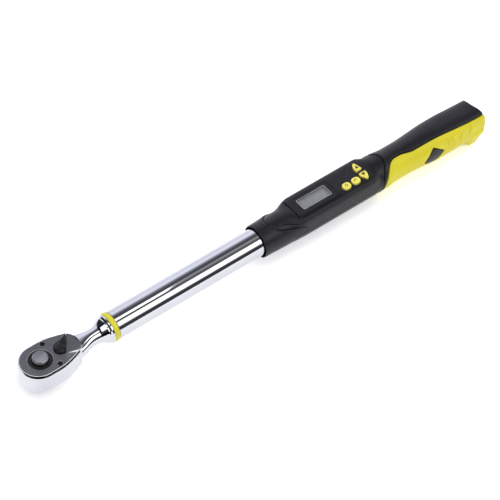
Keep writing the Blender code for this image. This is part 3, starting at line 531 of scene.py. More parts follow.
def make_camera():
    back = Vector((-math.sin(AZIMUTH) * math.cos(ELEVATION), -math.cos(AZIMUTH) * math.cos(ELEVATION),
                   math.sin(ELEVATION)))
    right = Vector((math.cos(AZIMUTH), -math.sin(AZIMUTH), 0.0))
    up = back.cross(right)
    camera = bpy.data.objects.new("camera", bpy.data.cameras.new("camera"))
    camera.data.lens = 202.9
    camera.data.sensor_width = 36.0
    camera.data.clip_end = 20.0
    camera.matrix_world = Matrix.Translation(AIM + back * DISTANCE) @ Matrix(
        (right, up, back)).transposed().to_4x4()
    bpy.context.scene.collection.objects.link(camera)
    bpy.context.scene.camera = camera


# Brightness of the studio round the tube's axis: angle from straight up towards the front, and its colour.
STUDIO = [(-180, (1.10, 1.12, 1.22)), (-115, (1.50, 1.51, 1.56)), (-99, (1.30, 1.33, 1.45)),
          (-83, (1.06, 1.09, 1.22)), (-70, (0.97, 1.00, 1.14)), (-52, (1.20, 1.23, 1.38)),
          (-45, (1.15, 1.18, 1.33)), (-39, (1.00, 1.02, 1.15)), (-30, (0.40, 0.41, 0.46)),
          (-20, (0.16, 0.165, 0.19)), (-8, (0.075, 0.08, 0.095)), (-3, (0.10, 0.10, 0.11)),
          (3, (0.36, 0.36, 0.37)), (8, (0.42, 0.42, 0.43)), (15, (0.25, 0.25, 0.25)),
          (25, (0.11, 0.11, 0.11)),
          (31, (0.10, 0.10, 0.10)), (35, (1.3, 1.3, 1.3)), (37, (2.3, 2.3, 2.3)), (62, (2.3, 2.3, 2.3)),
          (65, (0.8, 0.8, 0.8)), (69, (0.12, 0.12, 0.13)), (74, (0.06, 0.06, 0.07)), (92, (0.05, 0.05, 0.06)),
          (100, (0.5, 0.5, 0.53)), (180, (1.10, 1.12, 1.22))]
# Towards the head's end of the wrench the studio is dark, but for one white card there.
DARK_END = (-0.30, -0.16)
CARD_X = (-0.90, -0.52)
CARD_TURN = (-17.0, 38.0)


def make_world():
    """A ring of soft boxes and dark cards round the wrench; past the floor the camera sees plain white."""
    world = bpy.data.worlds.new("studio")
    bpy.context.scene.world = world
    world.use_nodes = True
    nodes, links = world.node_tree.nodes, world.node_tree.links
    nodes.clear()

    def span(socket, low, high, to_low=0.0, to_high=1.0):
        node = nodes.new("ShaderNodeMapRange")
        for name, value in (("From Min", low), ("From Max", high), ("To Min", to_low), ("To Max", to_high)):
            node.inputs[name].default_value = value
        links.new(socket, node.inputs["Value"])
        return node.outputs["Result"]

    def combined(operation, first, second):
        node = nodes.new("ShaderNodeMath")
        node.operation = operation
        for slot, value in enumerate((first, second)):
            if isinstance(value, float):
                node.inputs[slot].default_value = value
            else:
                links.new(value, node.inputs[slot])
        return node.outputs["Value"]

    where = nodes.new("ShaderNodeTexCoord")
    split = nodes.new("ShaderNodeSeparateXYZ")
    links.new(where.outputs["Generated"], split.inputs["Vector"])
    turn = combined("ARCTAN2", combined("MULTIPLY", split.outputs["Y"], -1.0), split.outputs["Z"])
    ramp = nodes.new("ShaderNodeValToRGB")
    brightest = max(max(colour) for _, colour in STUDIO)
    stops = ramp.color_ramp.elements
    for i, (degrees, colour) in enumerate(STUDIO):
        stop = stops[i] if i < 2 else stops.new(1.0)
        stop.position = (degrees + 180) / 360
        stop.color = (*(c / brightest for c in colour), 1.0)
    links.new(span(turn, -math.pi, math.pi), ramp.inputs["Fac"])
    lit = span(split.outputs["X"], *DARK_END, 0.03, 1.0)
    edge = 0.02
    card = None
    for socket, (low, high), soft_edge in ((split.outputs["X"], CARD_X, edge),
                                           (turn, [math.radians(t) for t in CARD_TURN], 2 * edge)):
        for limit, way in ((low, 1.0), (high, -1.0)):
            side = span(socket, limit - way * soft_edge, limit + way * soft_edge)
            card = side if card is None else combined("MULTIPLY", card, side)
    soft = nodes.new("ShaderNodeBackground")
    links.new(ramp.outputs["Color"], soft.inputs["Color"])
    links.new(combined("MULTIPLY", lit, brightest), soft.inputs["Strength"])
    white_card = nodes.new("ShaderNodeBackground")
    white_card.inputs["Color"].default_value = (1.0, 1.0, 1.0, 1.0)
    links.new(combined("MULTIPLY", card, 1.9), white_card.inputs["Strength"])
    both = nodes.new("ShaderNodeAddShader")
    links.new(soft.outputs["Background"], both.inputs[0])
    links.new(white_card.outputs["Background"], both.inputs[1])
    plain = nodes.new("ShaderNodeBackground")
    plain.inputs["Color"].default_value = (1.0, 1.0, 1.0, 1.0)
    path = nodes.new("ShaderNodeLightPath")
    mix = nodes.new("ShaderNodeMixShader")
    out = nodes.new("ShaderNodeOutputWorld")
    links.new(path.outputs["Is Camera Ray"], mix.inputs["Fac"])
    links.new(both.outputs["Shader"], mix.inputs[1])
    links.new(plain.outputs["Background"], mix.inputs[2])
    links.new(mix.outputs["Shader"], out.inputs["Surface"])


def make_light(name, place, size, energy):
    """A soft box that lights the scene but shows in no reflection."""
    light = bpy.data.objects.new(name, bpy.data.lights.new(name, "AREA"))
    light.data.shape = "DISK"
    light.data.size = size
    light.data.energy = energy
    light.location = place
    light.rotation_euler = (AIM - Vector(place)).to_track_quat("-Z", "Y").to_euler()
    light.visible_glossy = False
    bpy.context.scene.collection.objects.link(light)


def make_top_light():
    """A small soft box close above the head and the neck, which the chrome shows."""
    light = bpy.data.objects.new("head_light", bpy.data.lights.new("head_light", "AREA"))
    light.data.shape = "RECTANGLE"
    light.data.size = 0.49
    light.data.size_y = 0.184
    light.data.energy = 0.62
    light.location = (0.095, -0.15, 0.70)
    bpy.context.scene.collection.objects.link(light)


FLOOR_X = (-3.5, 4.0)
FLOOR_Y = (-0.36, 4.0)


def make_floor():
    """A plain pale floor; its front edge is near, so the dark card beyond it shows in the tube's side."""
    bm = bmesh.new()
    bm.faces.new([bm.verts.new((x, y, -0.0002)) for x, y in
                  ((FLOOR_X[0], FLOOR_Y[0]), (FLOOR_X[1], FLOOR_Y[0]), (FLOOR_X[1], FLOOR_Y[1]),
                   (FLOOR_X[0], FLOOR_Y[1]))])
    mesh = bpy.data.meshes.new("floor")
    bm.to_mesh(mesh)
    bm.free()
    floor = bpy.data.objects.new("floor", mesh)
    bpy.context.scene.collection.objects.link(floor)
    mat = principled("pale_floor", (0.93, 0.93, 0.94), 0.9)
    shader = mat.node_tree.nodes["Principled BSDF"]
    shader.inputs["Specular IOR Level"].default_value = 0.0
    shader.inputs["Emission Color"].default_value = (1.0, 1.0, 1.0, 1.0)
    shader.inputs["Emission Strength"].default_value = 0.3
    mesh.materials.append(mat)


make_camera()
make_world()
make_light("key_light", (0.0, -1.2, 2.6), 2.2, 26.0)
make_light("back_light", (0.5, 1.6, 2.2), 2.0, 17.0)
make_top_light()
make_floor()
bpy.context.scene.view_settings.view_transform = "Standard"


# ---------------------------------------------------------------- ratchet head

def flank(x):
    return NECK_R + (HEAD_HALF - NECK_R) * float(smooth_step((NECK_X - x) / (NECK_X - FLANK_X)))


def head_outline(inset, step=1.2):
    """The pear-shaped plan of the head, drawn in by an inset."""
    nose = HEAD_HALF - inset
    end = HEAD_END_R - inset
    side = []
    x = FLANK_X
    while True:
        slope = (flank(x + 0.1) - flank(x)) / 0.1
        lean = math.hypot(1.0, slope)
        px, py = x + inset * slope / lean, flank(x) - inset / lean
        if math.hypot(px - HEAD_END_X, py) > end and px > HEAD_END_X:
            break
        side.append((px, py))
        x += step
    half = arc(NOSE_X, 0, nose, 90, 180, 26)[::-1] + dense([(NOSE_X, nose), side[0]], step)[1:-1] + side
    tip_angle = math.degrees(math.atan2(side[-1][1], side[-1][0] - HEAD_END_X)) - 2.5
    half += arc(HEAD_END_X, 0, end, tip_angle, 0, 12)
    return half + [(x, -y) for x, y in reversed(half[1:-1])]


def neck_section(x, half_width, high, low, power):
    ring = []
    for i in range(96):
        t = math.tau * i / 96
        c, s = math.cos(t), math.sin(t)
        ring.append((x, half_width * math.copysign(abs(c) ** (2 / power), c),
                     math.copysign(abs(s) ** (2 / power), s) * (high if s > 0 else low)))
    return ring


def between(stations, x):
    """Smooth values between stations; the first column is x."""
    table = np.array(stations, float)
    i = int(np.clip(np.searchsorted(table[:, 0], x) - 1, 0, len(table) - 2))
    h = table[i + 1, 0] - table[i, 0]
    t = (x - table[i, 0]) / h
    slopes = np.gradient(table[:, 1:], table[:, 0], axis=0)
    p0, p1, m0, m1 = table[i, 1:], table[i + 1, 1:], slopes[i] * h, slopes[i + 1] * h
    return ((2 * t ** 3 - 3 * t ** 2 + 1) * p0 + (t ** 3 - 2 * t ** 2 + t) * m0
            + (3 * t ** 2 - 2 * t ** 3) * p1 + (t ** 3 - t ** 2) * m1)


def make_head():
    """Forged head with a bevelled lip round the plate, its neck, the flare, the flange and the tang."""
    wall = fillet([(5.8, HEAD_BOTTOM), (1.6, HEAD_BOTTOM + 0.5), (0.0, HEAD_BOTTOM + 4.2),
                   (0.0, HEAD_TOP - 1.6), (1.27, HEAD_TOP + 0.55), (1.37, HEAD_TOP + 0.5),
                   (1.37, HEAD_TOP - 2.4)], [0, 2.5, 3.5, 0.6, 0.08, 0.05, 0], 6)
    body = to_object("forged_head", loft([level(head_outline(inset), z) for inset, z in wall]), CHROME)
    # Neck: x, half width, reach up, reach down and squareness.
    stations = [(30.0, 12.5, 7.0, 9.5, 2.6), (38.0, 11.9, 7.2, 10.6, 2.5), (43.0, 10.7, 7.3, 10.0, 2.35),
                (50.0, 8.9, 7.8, 8.8, 2.1), (54.0, 8.25, 8.0, 8.3, 2.0),
                (NECK_X, NECK_R, NECK_R, NECK_R, 2.0), (61.5, 8.6, 8.6, 8.6, 2.0),
                (65.0, 10.2, 10.2, 10.2, 2.0), (68.0, 12.3, 12.3, 12.3, 2.0)]
    sections = [neck_section(x, *between(stations, x)) for x in np.linspace(30.0, 68.0, 60)]
    rim = fillet([(12.3, 68.0), (12.7, 68.5), (12.7, 69.6), (FLANGE_R, 71.0), (FLANGE_R, FLANGE_X),
                  (12.0, FLANGE_X)], [0, 0.2, 0.3, 0.25, 0.25, 0], 4)
    sections += [neck_section(x, r, r, r, 2.0) for r, x in rim[1:]]
    carve(body, loft(sections), "UNION")
    tang = TUBE_BORE_R - 0.3
    carve(body, lathe([(1.0, 71.0), (tang, 71.0), (tang, 95.6), (1.0, 96.0)], "X"), "UNION")
    carve(body, post(GEAR_TIP_R + 0.6, GEAR_LOW - 0.3, 20.0, steps=96))
    carve(body, post(GEAR_BOSS_R + 0.3, -30.0, 20.0, steps=96))
    carve(body, prism(pawl_chamber(), -PAWL_HALF_HEIGHT - 0.3, 20.0))
    carve(body, post(2.3, -9.0, 0.0, LEVER_X, steps=32))
    for side in (-1, 1):
        carve(body, post(SCREW_HOLE_R, -1.0, 20.0, SCREW_X, side * SCREW_Y, 24))
    carve(body, block(67.5, 110.0, -5.3, 5.3, -7.8, 7.8))
    carve(body, post(PIN_HOLE_R, -30.0, 30.0, HEAD_PIN_X, steps=24))
    return body


def pawl_chamber():
    """Plan of the pocket that the pawl and the lever's shaft share."""
    half, rear = 10.8, 8.3
    return [(8.0, -half), (LEVER_X - 2.0, -half)] + arc(LEVER_X, 0, rear, -60, 60, 24) + [
        (LEVER_X - 2.0, half), (8.0, half)]


def lever_hollow():
    """The fan that the lever sweeps: shallow steep walls, but for one long slope on the near side, which
    make_plate paints with a highlight.
    """
    near = [(16.0, 2.2), (15.3, 0.0), (16.0, -2.2), (17.6, -5.2), (20.4, -6.9), (26.0, -7.6), (33.6, -9.9),
            (48.0, -14.5)]
    fan = near + [(x, -y) for x, y in reversed(near[3:])]
    fan = dense(fillet(fan, 2.5, 4, closed=True), 1.0, closed=True)
    outside = drawn_in(fan, -1.0)
    rings = [level(fan, RECESS_Z)]
    for high, reach in ((PLATE_TOP + 0.02, 1.0), (20.0, 1.02)):
        ring = []
        for (x, y), (ox, oy) in zip(fan, outside):
            slope = float(np.interp(x, [17.0, 21.0, 31.0, 36.0], [0.25, 0.5, 2.9, 3.4])) if y < 0 else 0.3
            ring.append((x + (ox - x) * slope * reach, y + (oy - y) * slope * reach, high))
        rings.append(ring)
    return loft(rings)


def make_plate():
    """Satin plate with the hollow that the lever sweeps; its bevelled edge and the hollow's near slope take a
    brighter metal, a painted highlight.
    """
    edge = fillet([(0.42, 8.2), (0.42, PLATE_TOP - 0.32), (0.7, PLATE_TOP), (2.0, PLATE_TOP)],
                  [0, 0.08, 0.08, 0], 3)
    rings = [level(head_outline(PLATE_INSET + inset), z) for inset, z in [(0.42, 7.1)] + edge]
    plate = to_object("head_plate", loft(rings), PLATE)
    carve(plate, lever_hollow())
    bore = GEAR_BOSS_R + 0.35
    mouth = [(bore, 0.0), (bore, PLATE_TOP - 0.15), (bore + 0.3, PLATE_TOP + 0.15), (bore + 0.3, 20.0)]
    carve(plate, lathe(mouth, steps=96))
    carve(plate, post(3.3, 0.0, 20.0, LEVER_X))
    seat = [(2.8, RECESS_Z - 0.6), (2.8, PLATE_TOP - 0.12), (3.0, PLATE_TOP + 0.1), (3.0, 20.0)]
    for side in (-1, 1):
        carve(plate, lathe(seat, centre=(SCREW_X, side * SCREW_Y, 0), steps=48))
        carve(plate, post(SCREW_HOLE_R, 0.0, 20.0, SCREW_X, side * SCREW_Y, 32))
    # Painted highlight: the bevelled top edge and the near slope of the hollow take the brighter metal.
    plate.data.materials.append(PLATE_PAINTED_HIGHLIGHT)
    for face in plate.data.polygons:
        x, y, z = face.center / MM
        sloped = 0.15 < face.normal.z < 0.985
        near_slope = face.normal.y > 0.1 and x > 18.0 and abs(y) < 13.0
        if sloped and (z - AXIS_Z > PLATE_TOP - 0.4 or near_slope):
            face.material_index = 1
    return plate


def make_plate_screw(name, side):
    """Socket screw: a domed rim and a hexagon socket."""
    top = PLATE_TOP - 0.15
    seat = RECESS_Z - 0.5
    profile = fillet([(1.0, 0.0), (1.35, 0.3), (1.35, seat), (2.55, seat), (2.55, top), (1.4, top)],
                     [0, 0.1, 0.05, 0.1, 0.45, 0], 4)
    screw = to_object(name, lathe(profile, centre=(SCREW_X, side * SCREW_Y, 0), steps=48), OXIDE)
    return carve(screw, post(1.35, top - 1.3, top + 1.0, SCREW_X, side * SCREW_Y, 6))


def ball_direction():
    """Out of the square's side face that holds the ball."""
    turn = math.radians(SQUARE_TURN - 90.0)
    return Vector((math.cos(turn), math.sin(turn), 0.0))


def make_gear_boss():
    """The toothed gear, its two journals and the square drive below, bored for the quick release."""
    low = HEAD_BOTTOM - 0.4
    profile = fillet([(6.0, low), (GEAR_BOSS_R, low), (GEAR_BOSS_R, 10.2), (BUTTON_R + 0.3, 10.2),
                      (BUTTON_R + 0.3, 0.5), (1.0, 0.5)], [0, 0.5, 0.6, 0.35, 0.2, 0], 4)
    boss = to_object("gear_boss", lathe(profile, steps=96), OXIDE)
    carve(boss, prism(gear_outline(), GEAR_LOW, GEAR_HIGH), "UNION")
    half = SQUARE / 2
    end = -AXIS_Z
    rings = []
    for inset, z in fillet([(1.4, end), (0.0, end + 1.4), (0.0, low + 1.0)], [0, 0.6, 0], 4):
        plan = rounded_rectangle(-half + inset, half - inset, -half + inset, half - inset, 1.3, 5)
        rings.append(level(turned_about(plan, (0, 0), SQUARE_TURN), z))
    carve(boss, loft(rings), "UNION")
    hole = lathe([(2.55, 1.0), (2.55, half - 0.3), (2.9, half + 0.2), (2.9, 12.0)], steps=32)
    aimed = ball_direction().to_track_quat("Z", "Y").to_matrix().to_4x4()
    carve(boss, moved(hole, Matrix.Translation((0, 0, BALL_Z)) @ aimed))
    return carve(boss, post(PLUNGER_R + 0.4, PLUNGER_LOW - 3.3, 5.0, steps=32))


def gear_outline():
    """Plan of the toothed ring."""
    pitch = 360.0 / TEETH
    points = []
    for tooth in range(TEETH):
        for angle, radius in ((-3.8, GEAR_ROOT_R), (-1.0, GEAR_TIP_R), (1.0, GEAR_TIP_R), (3.8, GEAR_ROOT_R)):
            t = math.radians(pitch * (tooth + 0.5) + angle)
            points.append((radius * math.cos(t), radius * math.sin(t)))
    return points


def make_ball():
    centre = ball_direction() * (SQUARE / 2 + BALL_PROUD - BALL_R) + Vector((0, 0, BALL_Z))
    bm = bmesh.new()
    bmesh.ops.create_icosphere(bm, subdivisions=4, radius=BALL_R)
    bmesh.ops.translate(bm, vec=centre, verts=bm.verts)
    return to_object("steel_ball", bm, SPRING)


def make_button():
    """Round push button with a turned, slightly hollow top, on the plunger that frees the ball."""
    plunger = [(0.8, PLUNGER_LOW), (PLUNGER_R, PLUNGER_LOW), (PLUNGER_R, BALL_Z), (1.3, BALL_Z + 2.2),
               (1.3, BALL_Z + 4.2), (PLUNGER_R, BALL_Z + 5.2)]
    knob = fillet([(PLUNGER_R, 8.0), (BUTTON_R, 8.0), (BUTTON_R, BUTTON_TOP - 1.3),
                   (BUTTON_R - 0.9, BUTTON_TOP - 0.15), (BUTTON_R - 1.5, BUTTON_TOP),
                   (BUTTON_R - 2.0, BUTTON_TOP - 0.12), (0.6, BUTTON_TOP - 0.35)],
                  [0, 0.2, 0.5, 0.3, 0.25, 0.3, 0], 4)
    return to_object("push_button", lathe(plunger + knob, steps=96), BUTTON)


def make_lever():
    """Thumb lever: a domed hub and a raised, grooved tab that ends in a point."""
    place = Matrix.Translation((LEVER_X, 0, 0)) @ Matrix.Rotation(math.radians(LEVER_REST), 4, "Z")
    floor = RECESS_Z + 0.25
    shaft = [(1.0, -8.6), (1.9, -8.6), (1.9, -5.5), (3.0, -5.5), (3.0, floor + 1.0), (1.0, floor + 1.0)]
    lever = to_object("thumb_lever", moved(lathe(shaft, steps=48), place), OXIDE)
    hub = fillet([(2.0, floor), (5.8, floor), (5.8, 11.9), (4.2, 12.7), (0.8, 12.9)],
                 [0, 0.2, 0.9, 0.6, 0], 5)
    carve(lever, moved(lathe(hub, centre=(0.35, -0.45, 0), steps=72), place), "UNION")

    def tab_top(x):
        return 12.4 + 2.2 * float(smooth_step(x / LEVER_REACH * 1.15))

    rings = []
    along = [0.5, 9.5, 13.4, LEVER_REACH]
    for x in np.linspace(along[0], LEVER_REACH, 40):
        left = np.interp(x, along, [5.0, 3.2, 1.3, 0.2])
        right = np.interp(x, along, [-5.9, -3.5, -2.1, -0.9])
        top = tab_top(x)
        shoulder = floor + (top - floor) * 0.55
        crest = 0.45 * (left + right)
        flat = 0.5 * (1.4 - x / LEVER_REACH)
        section = fillet([(left, floor), (left, shoulder), (crest + flat, top), (crest - flat, top),
                          (right, shoulder), (right, floor)], [0, 0.7, 0.5, 0.5, 0.7, 0], 3)
        rings.append([(x, y, z) for y, z in section])
    carve(lever, moved(loft(rings), place), "UNION")
    for x in (8.0, 9.6, 11.2, 12.8):
        groove = block(x - 0.25, x + 0.25, -6.0, 6.0, 0.0, 1.0)
        carve(lever, moved(groove, place @ Matrix.Translation((0, 0, tab_top(x) - 0.3))))
    return carve(lever, moved(lathe([(1.3, -1.6), (1.3, 6.0)], "X", steps=24), place))


piece(make_head(), "wrench", "chrome", "ratchet_head")
piece(make_plate(), "wrench", "gunmetal", "cover_plate")
for number, side in ((1, 1), (2, -1)):
    piece(make_plate_screw(f"plate_screw_{number}", side), "wrench", "black_oxide", f"cover_screw_{number}")
piece(make_gear_boss(), "drive", "black_oxide", "drive_gear")
piece(make_ball(), "ball", "spring_steel", "detent_ball")
piece(make_button(), "button", "satin_steel", "release_button")
piece(make_lever(), "lever", "black_oxide", "reversing_lever")


# ---------------------------------------------------------------- tube and ring

def make_tube():
    neck = TUBE_BORE_R + 1.1
    back, front = RING_X1 + 0.2, FLANGE_X + 0.4
    profile = fillet([(neck, front), (neck, back), (TUBE_R, back), (TUBE_R, TUBE_END_X),
                      (TUBE_BORE_R, TUBE_END_X), (TUBE_BORE_R, front)],
                     [0.2, 0.1, 0.5, 0.4, 0.4, 0.2], 4, closed=True)
    tube = to_object("chromed_tube", lathe(profile, "X", steps=160, ring=True), CHROME)
    carve(tube, block(*WINDOW_MILLED, -20.0, 20.0, 1.0, 20.0))
    for x in (HEAD_PIN_X, BEAM_PIN_X):
        carve(tube, post(PIN_HOLE_R, -30.0, 30.0, x, steps=32))
    for _, x, _ in BOTTOM_SCREWS:
        carve(tube, post(1.9, -30.0, 0.0, x, steps=32))
    return tube


def make_ring():
    bore = TUBE_BORE_R + 1.4
    edge = RING_R - 0.75
    crown = RING_R - 0.12
    profile = fillet([(edge, RING_X0), (crown, RING_X0 + 1.3), (RING_R, RING_X0 + 2.0),
                      (RING_R, RING_X1 - 2.0), (crown, RING_X1 - 1.3), (edge, RING_X1), (bore, RING_X1),
                      (bore, RING_X0)],
                     [0.3, 0.5, 0.4, 0.4, 0.5, 0.3, 0.2, 0.2], 4, closed=True)
    return to_object("coloured_ring", lathe(profile, "X", steps=128, ring=True), RING_YELLOW)


piece(make_tube(), "wrench", "chrome", "tube")
piece(make_ring(), "wrench", "ring_yellow", "marker_ring")


# ---------------------------------------------------------------- display housing

def super_radius(angle, half_width, high, low, power):
    s, c = np.abs(np.sin(angle)), np.cos(angle)
    above = ((s / half_width) ** power + (np.abs(c) / high) ** power) ** (-1 / power)
    below = ((s / half_width) ** 2 + (np.abs(c) / low) ** 2) ** (-1 / 2)
    return np.where(c > 0, above, below)


def deck_radius(angle, proud=0.0):
    """The flat-topped section that carries the display and the keys."""
    return super_radius(angle, DECK_HALF + proud, DECK_TOP + proud, DECK_LOW, DECK_POWER)


def swell(offset, width):
    """A smooth hump, 1 high, that has died away two widths from its middle."""
    return np.exp(-(offset / width) ** 2)


# Where the hollow in front of the display begins, by angle from the top towards the near side.
SWEEP = [(-75, 272.0), (-50, 261.0), (-30, 256.0), (-10, 254.0), (10, 254.4), (26, 256.0), (41, 261.7),
         (53, 269.2), (62, 277.0), (72, 288.0)]


def housing_radius(x, angle):
    """Skin of the display housing, with its hollow, ramp, deck and collar. Arrays in, array out."""
    degrees = np.degrees((angle + math.pi) % math.tau - math.pi)
    aside = np.abs(degrees)
    sleeve = 16.6 + 0.8 * smooth_step((x - HOUSING_X0) / (RAMP_X0 - HOUSING_X0))
    deck = deck_radius(angle)
    skin = sleeve + (deck - sleeve) * smooth_step((x - RAMP_X0) / (RAMP_X1 - RAMP_X0))
    skin = np.where(x < DECK_X1, skin,
                    deck + (COLLAR_R - deck) * smooth_step((x - DECK_X1) / (COLLAR_X0 - DECK_X1)))
    # The hollow in front of the display, with a bead before its edge and a furrow behind it.
    start = np.interp(degrees, *np.array(SWEEP, float).T)
    within = smooth_step((84.0 - aside) / 12.0)
    hollow = smooth_step((x - start) / 1.2) * smooth_step((288.0 - x) / 14.0)
    skin = skin - 1.0 * hollow * within
    skin = skin + (0.3 * swell(x - start + 1.0, 1.0) - 0.95 * swell(x - start - 0.7, 0.75)) * within
    # A slanting crease on the near flank.
    crease = 31.0 + (x - 269.9) * 1.825
    along = smooth_step((x - 266.0) / 4.0) * smooth_step((286.0 - x) / 3.0)
    off = degrees - crease
    skin = skin + along * (0.4 * swell(off + 2.2, 2.0) - 0.7 * swell(off - 1.4, 1.8))
    # The groove across the foot of the display frame.
    skin = skin - 0.75 * smooth_step((52.0 - aside) / 8.0) * swell(x - 284.5, 0.75)
    # A crescent pressed into the deck beside the keys.
    across = -deck * np.sin(angle)
    reach = np.hypot(x - 365.0, across + 2.0)
    crescent = smooth_step((across - 1.0) / 2.0) * smooth_step((12.5 - across) / 2.5)
    crescent = crescent * (np.cos(angle) > 0.4) * (x < 362.0)
    skin = skin + crescent * (0.2 * swell(reach - 15.6, 0.5) - 0.45 * swell(reach - 14.2, 0.8)
                              + 0.2 * swell(reach - 12.8, 0.5))
    # The lower shell stands a little proud below the deck.
    belly = smooth_step((aside - 96.0) / 4.0)
    return skin + 0.3 * belly * smooth_step((x - 276.0) / 0.8) * smooth_step((374.5 - x) / 0.8)


def collar_x(angle):
    return COLLAR_X0 + COLLAR_BULGE * np.maximum(0.0, np.cos(angle)) ** 2


def polar(x, radius, angle):
    return list(zip(x, -radius * np.sin(angle), radius * np.cos(angle)))


def make_housing_skin():
    """Rings of the whole outer skin, from the front lip to the curved rear edge."""
    angle = np.linspace(0, math.tau, 288, endpoint=False)
    lip = [(242.5, -2.0), (242.5, -0.75), (242.62, -0.45), (242.95, -0.15), (243.5, 0.0), (244.5, 0.0),
           (244.8, -0.3), (245.3, -0.3), (245.6, 0.0)]
    rings = []
    for x, drop in lip:
        place = np.full_like(angle, x)
        rings.append(polar(place, housing_radius(place, angle) + drop, angle))
    front_x, rear_x = lip[-1][0], collar_x(angle)
    for t in np.linspace(0, 1, 250)[1:]:
        place = front_x + (rear_x - 1.4 - front_x) * t
        rings.append(polar(place, housing_radius(place, angle), angle))
    for back, drop in ((1.2, 0.14), (0.8, 0.29), (0.45, 0.29), (0.12, 0.1), (0.0, -0.3), (0.0, -2.2)):
        rings.append(polar(rear_x - back, np.full_like(angle, COLLAR_R) + drop, angle))
    return loft(rings)


KEYS = {
    "power_key": rounded_rectangle(339.0, 349.0, -12.2, -3.4, 3.9, 8),
    "units_key": rounded_rectangle(350.1, 360.1, -12.2, -3.4, 3.9, 8),
    "up_key": fillet([(370.2, 0.0), (369.0, 5.2), (367.7, 10.6), (364.5, 10.6), (361.8, 5.2), (361.8, 0.0)],
                     [2.3, 2.6, 1.7, 1.7, 2.6, 2.3], 6, closed=True),
    "down_key": fillet([(370.4, -2.4), (370.6, -6.4), (367.9, -12.6), (364.9, -12.6), (361.5, -6.2),
                        (361.6, -2.4)], [2.0, 2.6, 1.6, 1.6, 2.6, 2.3], 6, closed=True),
}


def make_hollow():
    """The room inside the housing for the board, the display and the keys."""
    angle = np.linspace(0, math.tau, 96, endpoint=False)
    rings = []
    for x in (WINDOW_MILLED[0] - 1.0, 288.5, RAMP_X1, DECK_X1, WINDOW_MILLED[1] - 2.0):
        place = np.full_like(angle, x)
        deck = deck_radius(angle)
        radius = np.minimum(deck, housing_radius(place, angle)) if x < RAMP_X1 else deck
        rings.append(polar(place, radius - WALL - 0.3, angle))
    return loft(rings)


def make_housing():
    """Upper and lower shells: one skin, hollowed and parted along a level line."""
    bore = [(15.8, 230.0), (15.8, 243.6), (SLEEVE_BORE_R, 246.4), (SLEEVE_BORE_R, 400.0)]
    for name, low, high, node in (("upper_shell", -40.0, SPLIT_Z, "upper_housing"),
                                  ("lower_shell", SPLIT_Z - 0.18, 40.0, "lower_housing")):
        shell = to_object(name, make_housing_skin(), HOUSING)
        carve(shell, block(200.0, 400.0, -40.0, 40.0, low, high))
        carve(shell, make_hollow())
        carve(shell, lathe(bore, "X", steps=128))
        if name == "upper_shell":
            x0, x1, half = BEZEL
            seat = rounded_rectangle(x0 - 0.25, x1 + 0.25, -half - 0.25, half + 0.25, 2.0)
            carve(shell, prism(seat, 14.3, 30.0))
            carve(shell, prism(rounded_rectangle(288.5, 331.5, -10.4, 10.4, 1.0), 10.0, 30.0))
            for outline in KEYS.values():
                carve(shell, prism(drawn_in(outline, -0.35), 10.0, 30.0))
        else:
            for _, x, head in BOTTOM_SCREWS[:2]:
                carve(shell, post(3.3, -30.0, head + 1.3, x))
        piece(shell, "wrench", "black_plastic", node)


def make_bezel():
    """Raised frame round the window, following the deck, with a stepped inner border and a pale line."""
    x0, x1, half = BEZEL
    w0, w1, wy = WINDOW
    angle = np.linspace(0, math.tau, 288, endpoint=False)
    deck = deck_radius(angle, BEZEL_PROUD)
    slab = loft([polar(np.full_like(angle, x), deck, angle) for x in (x0 - 9, x1 + 9)])
    bezel = to_object("display_frame", slab, BEZEL_MAT)
    plan = rounded_rectangle(x0, x1, -half, half, 1.8)
    sides = loft([level(drawn_in(plan, inset), z) for inset, z in ((0.0, 14.4), (0.0, 14.9), (0.7, 20.0))])
    carve(bezel, sides, "INTERSECT")
    step = DECK_TOP + BEZEL_PROUD - 0.32
    carve(bezel, prism(rounded_rectangle(290.0, 332.0, -10.7, 10.7, 1.2), step, 30.0))
    opening = rounded_rectangle(w0 - 0.1, w1 + 0.1, -wy - 0.1, wy + 0.1, 0.8)
    carve(bezel, prism(opening, 10.0, 30.0))
    line = rounded_rectangle(w0 - 0.75, w1 + 0.75, -wy - 0.75, wy + 0.75, 1.4)
    bead = to_object("frame_line", prism(line, step - 0.3, step + 0.12, 0.1), LCD_EDGE)
    carve(bead, prism(opening, 10.0, 30.0))
    return merged(bezel, bead)


def make_window_pane():
    w0, w1, wy = WINDOW
    pane = rounded_rectangle(w0, w1, -wy, wy, 0.7)
    return to_object("window_pane", prism(pane, 14.4, 15.25, 0.15), WINDOW_MAT)


def make_lcd():
    """Liquid-crystal glass, which reaches under the frame on all sides."""
    w0, w1, _ = WINDOW
    plan = rounded_rectangle(w0 - 3.0, w1 + 2.0, -9.6, 9.6, 0.6)
    return to_object("display_panel", prism(plan, 9.0, 12.8, 0.2), LCD)


def curved_band(cx, cy, start, end, steps):
    """Outline of a thin band between two arcs."""
    outer, inner = (arc(cx, cy, radius, start, end, steps) for radius in (1.5, 1.0))
    return outer + inner[::-1]


def key_marks(name, cx, cy):
    """Outlines of a key's generic mark."""
    if name == "up_key":
        return [[(cx - 1.9, 2.9), (cx + 1.9, 2.9), (cx, 6.6)]]
    if name == "down_key":
        return [[(cx - 1.9, -4.4), (cx, -8.1), (cx + 1.9, -4.4)]]
    if name == "power_key":
        return [curved_band(cx, cy, 120, 420, 24),
                [(cx - 0.25, cy + 0.3), (cx + 0.25, cy + 0.3), (cx + 0.25, cy + 2.0), (cx - 0.25, cy + 2.0)]]
    return [curved_band(cx, cy + 0.1, -20, 170, 18),
            [(cx - 2.2, cy + 0.4), (cx - 1.3, cy - 1.1), (cx - 0.4, cy + 0.4)]]


def middle_of(outline):
    return (sum(u for u, _ in outline) / len(outline), sum(v for _, v in outline) / len(outline))


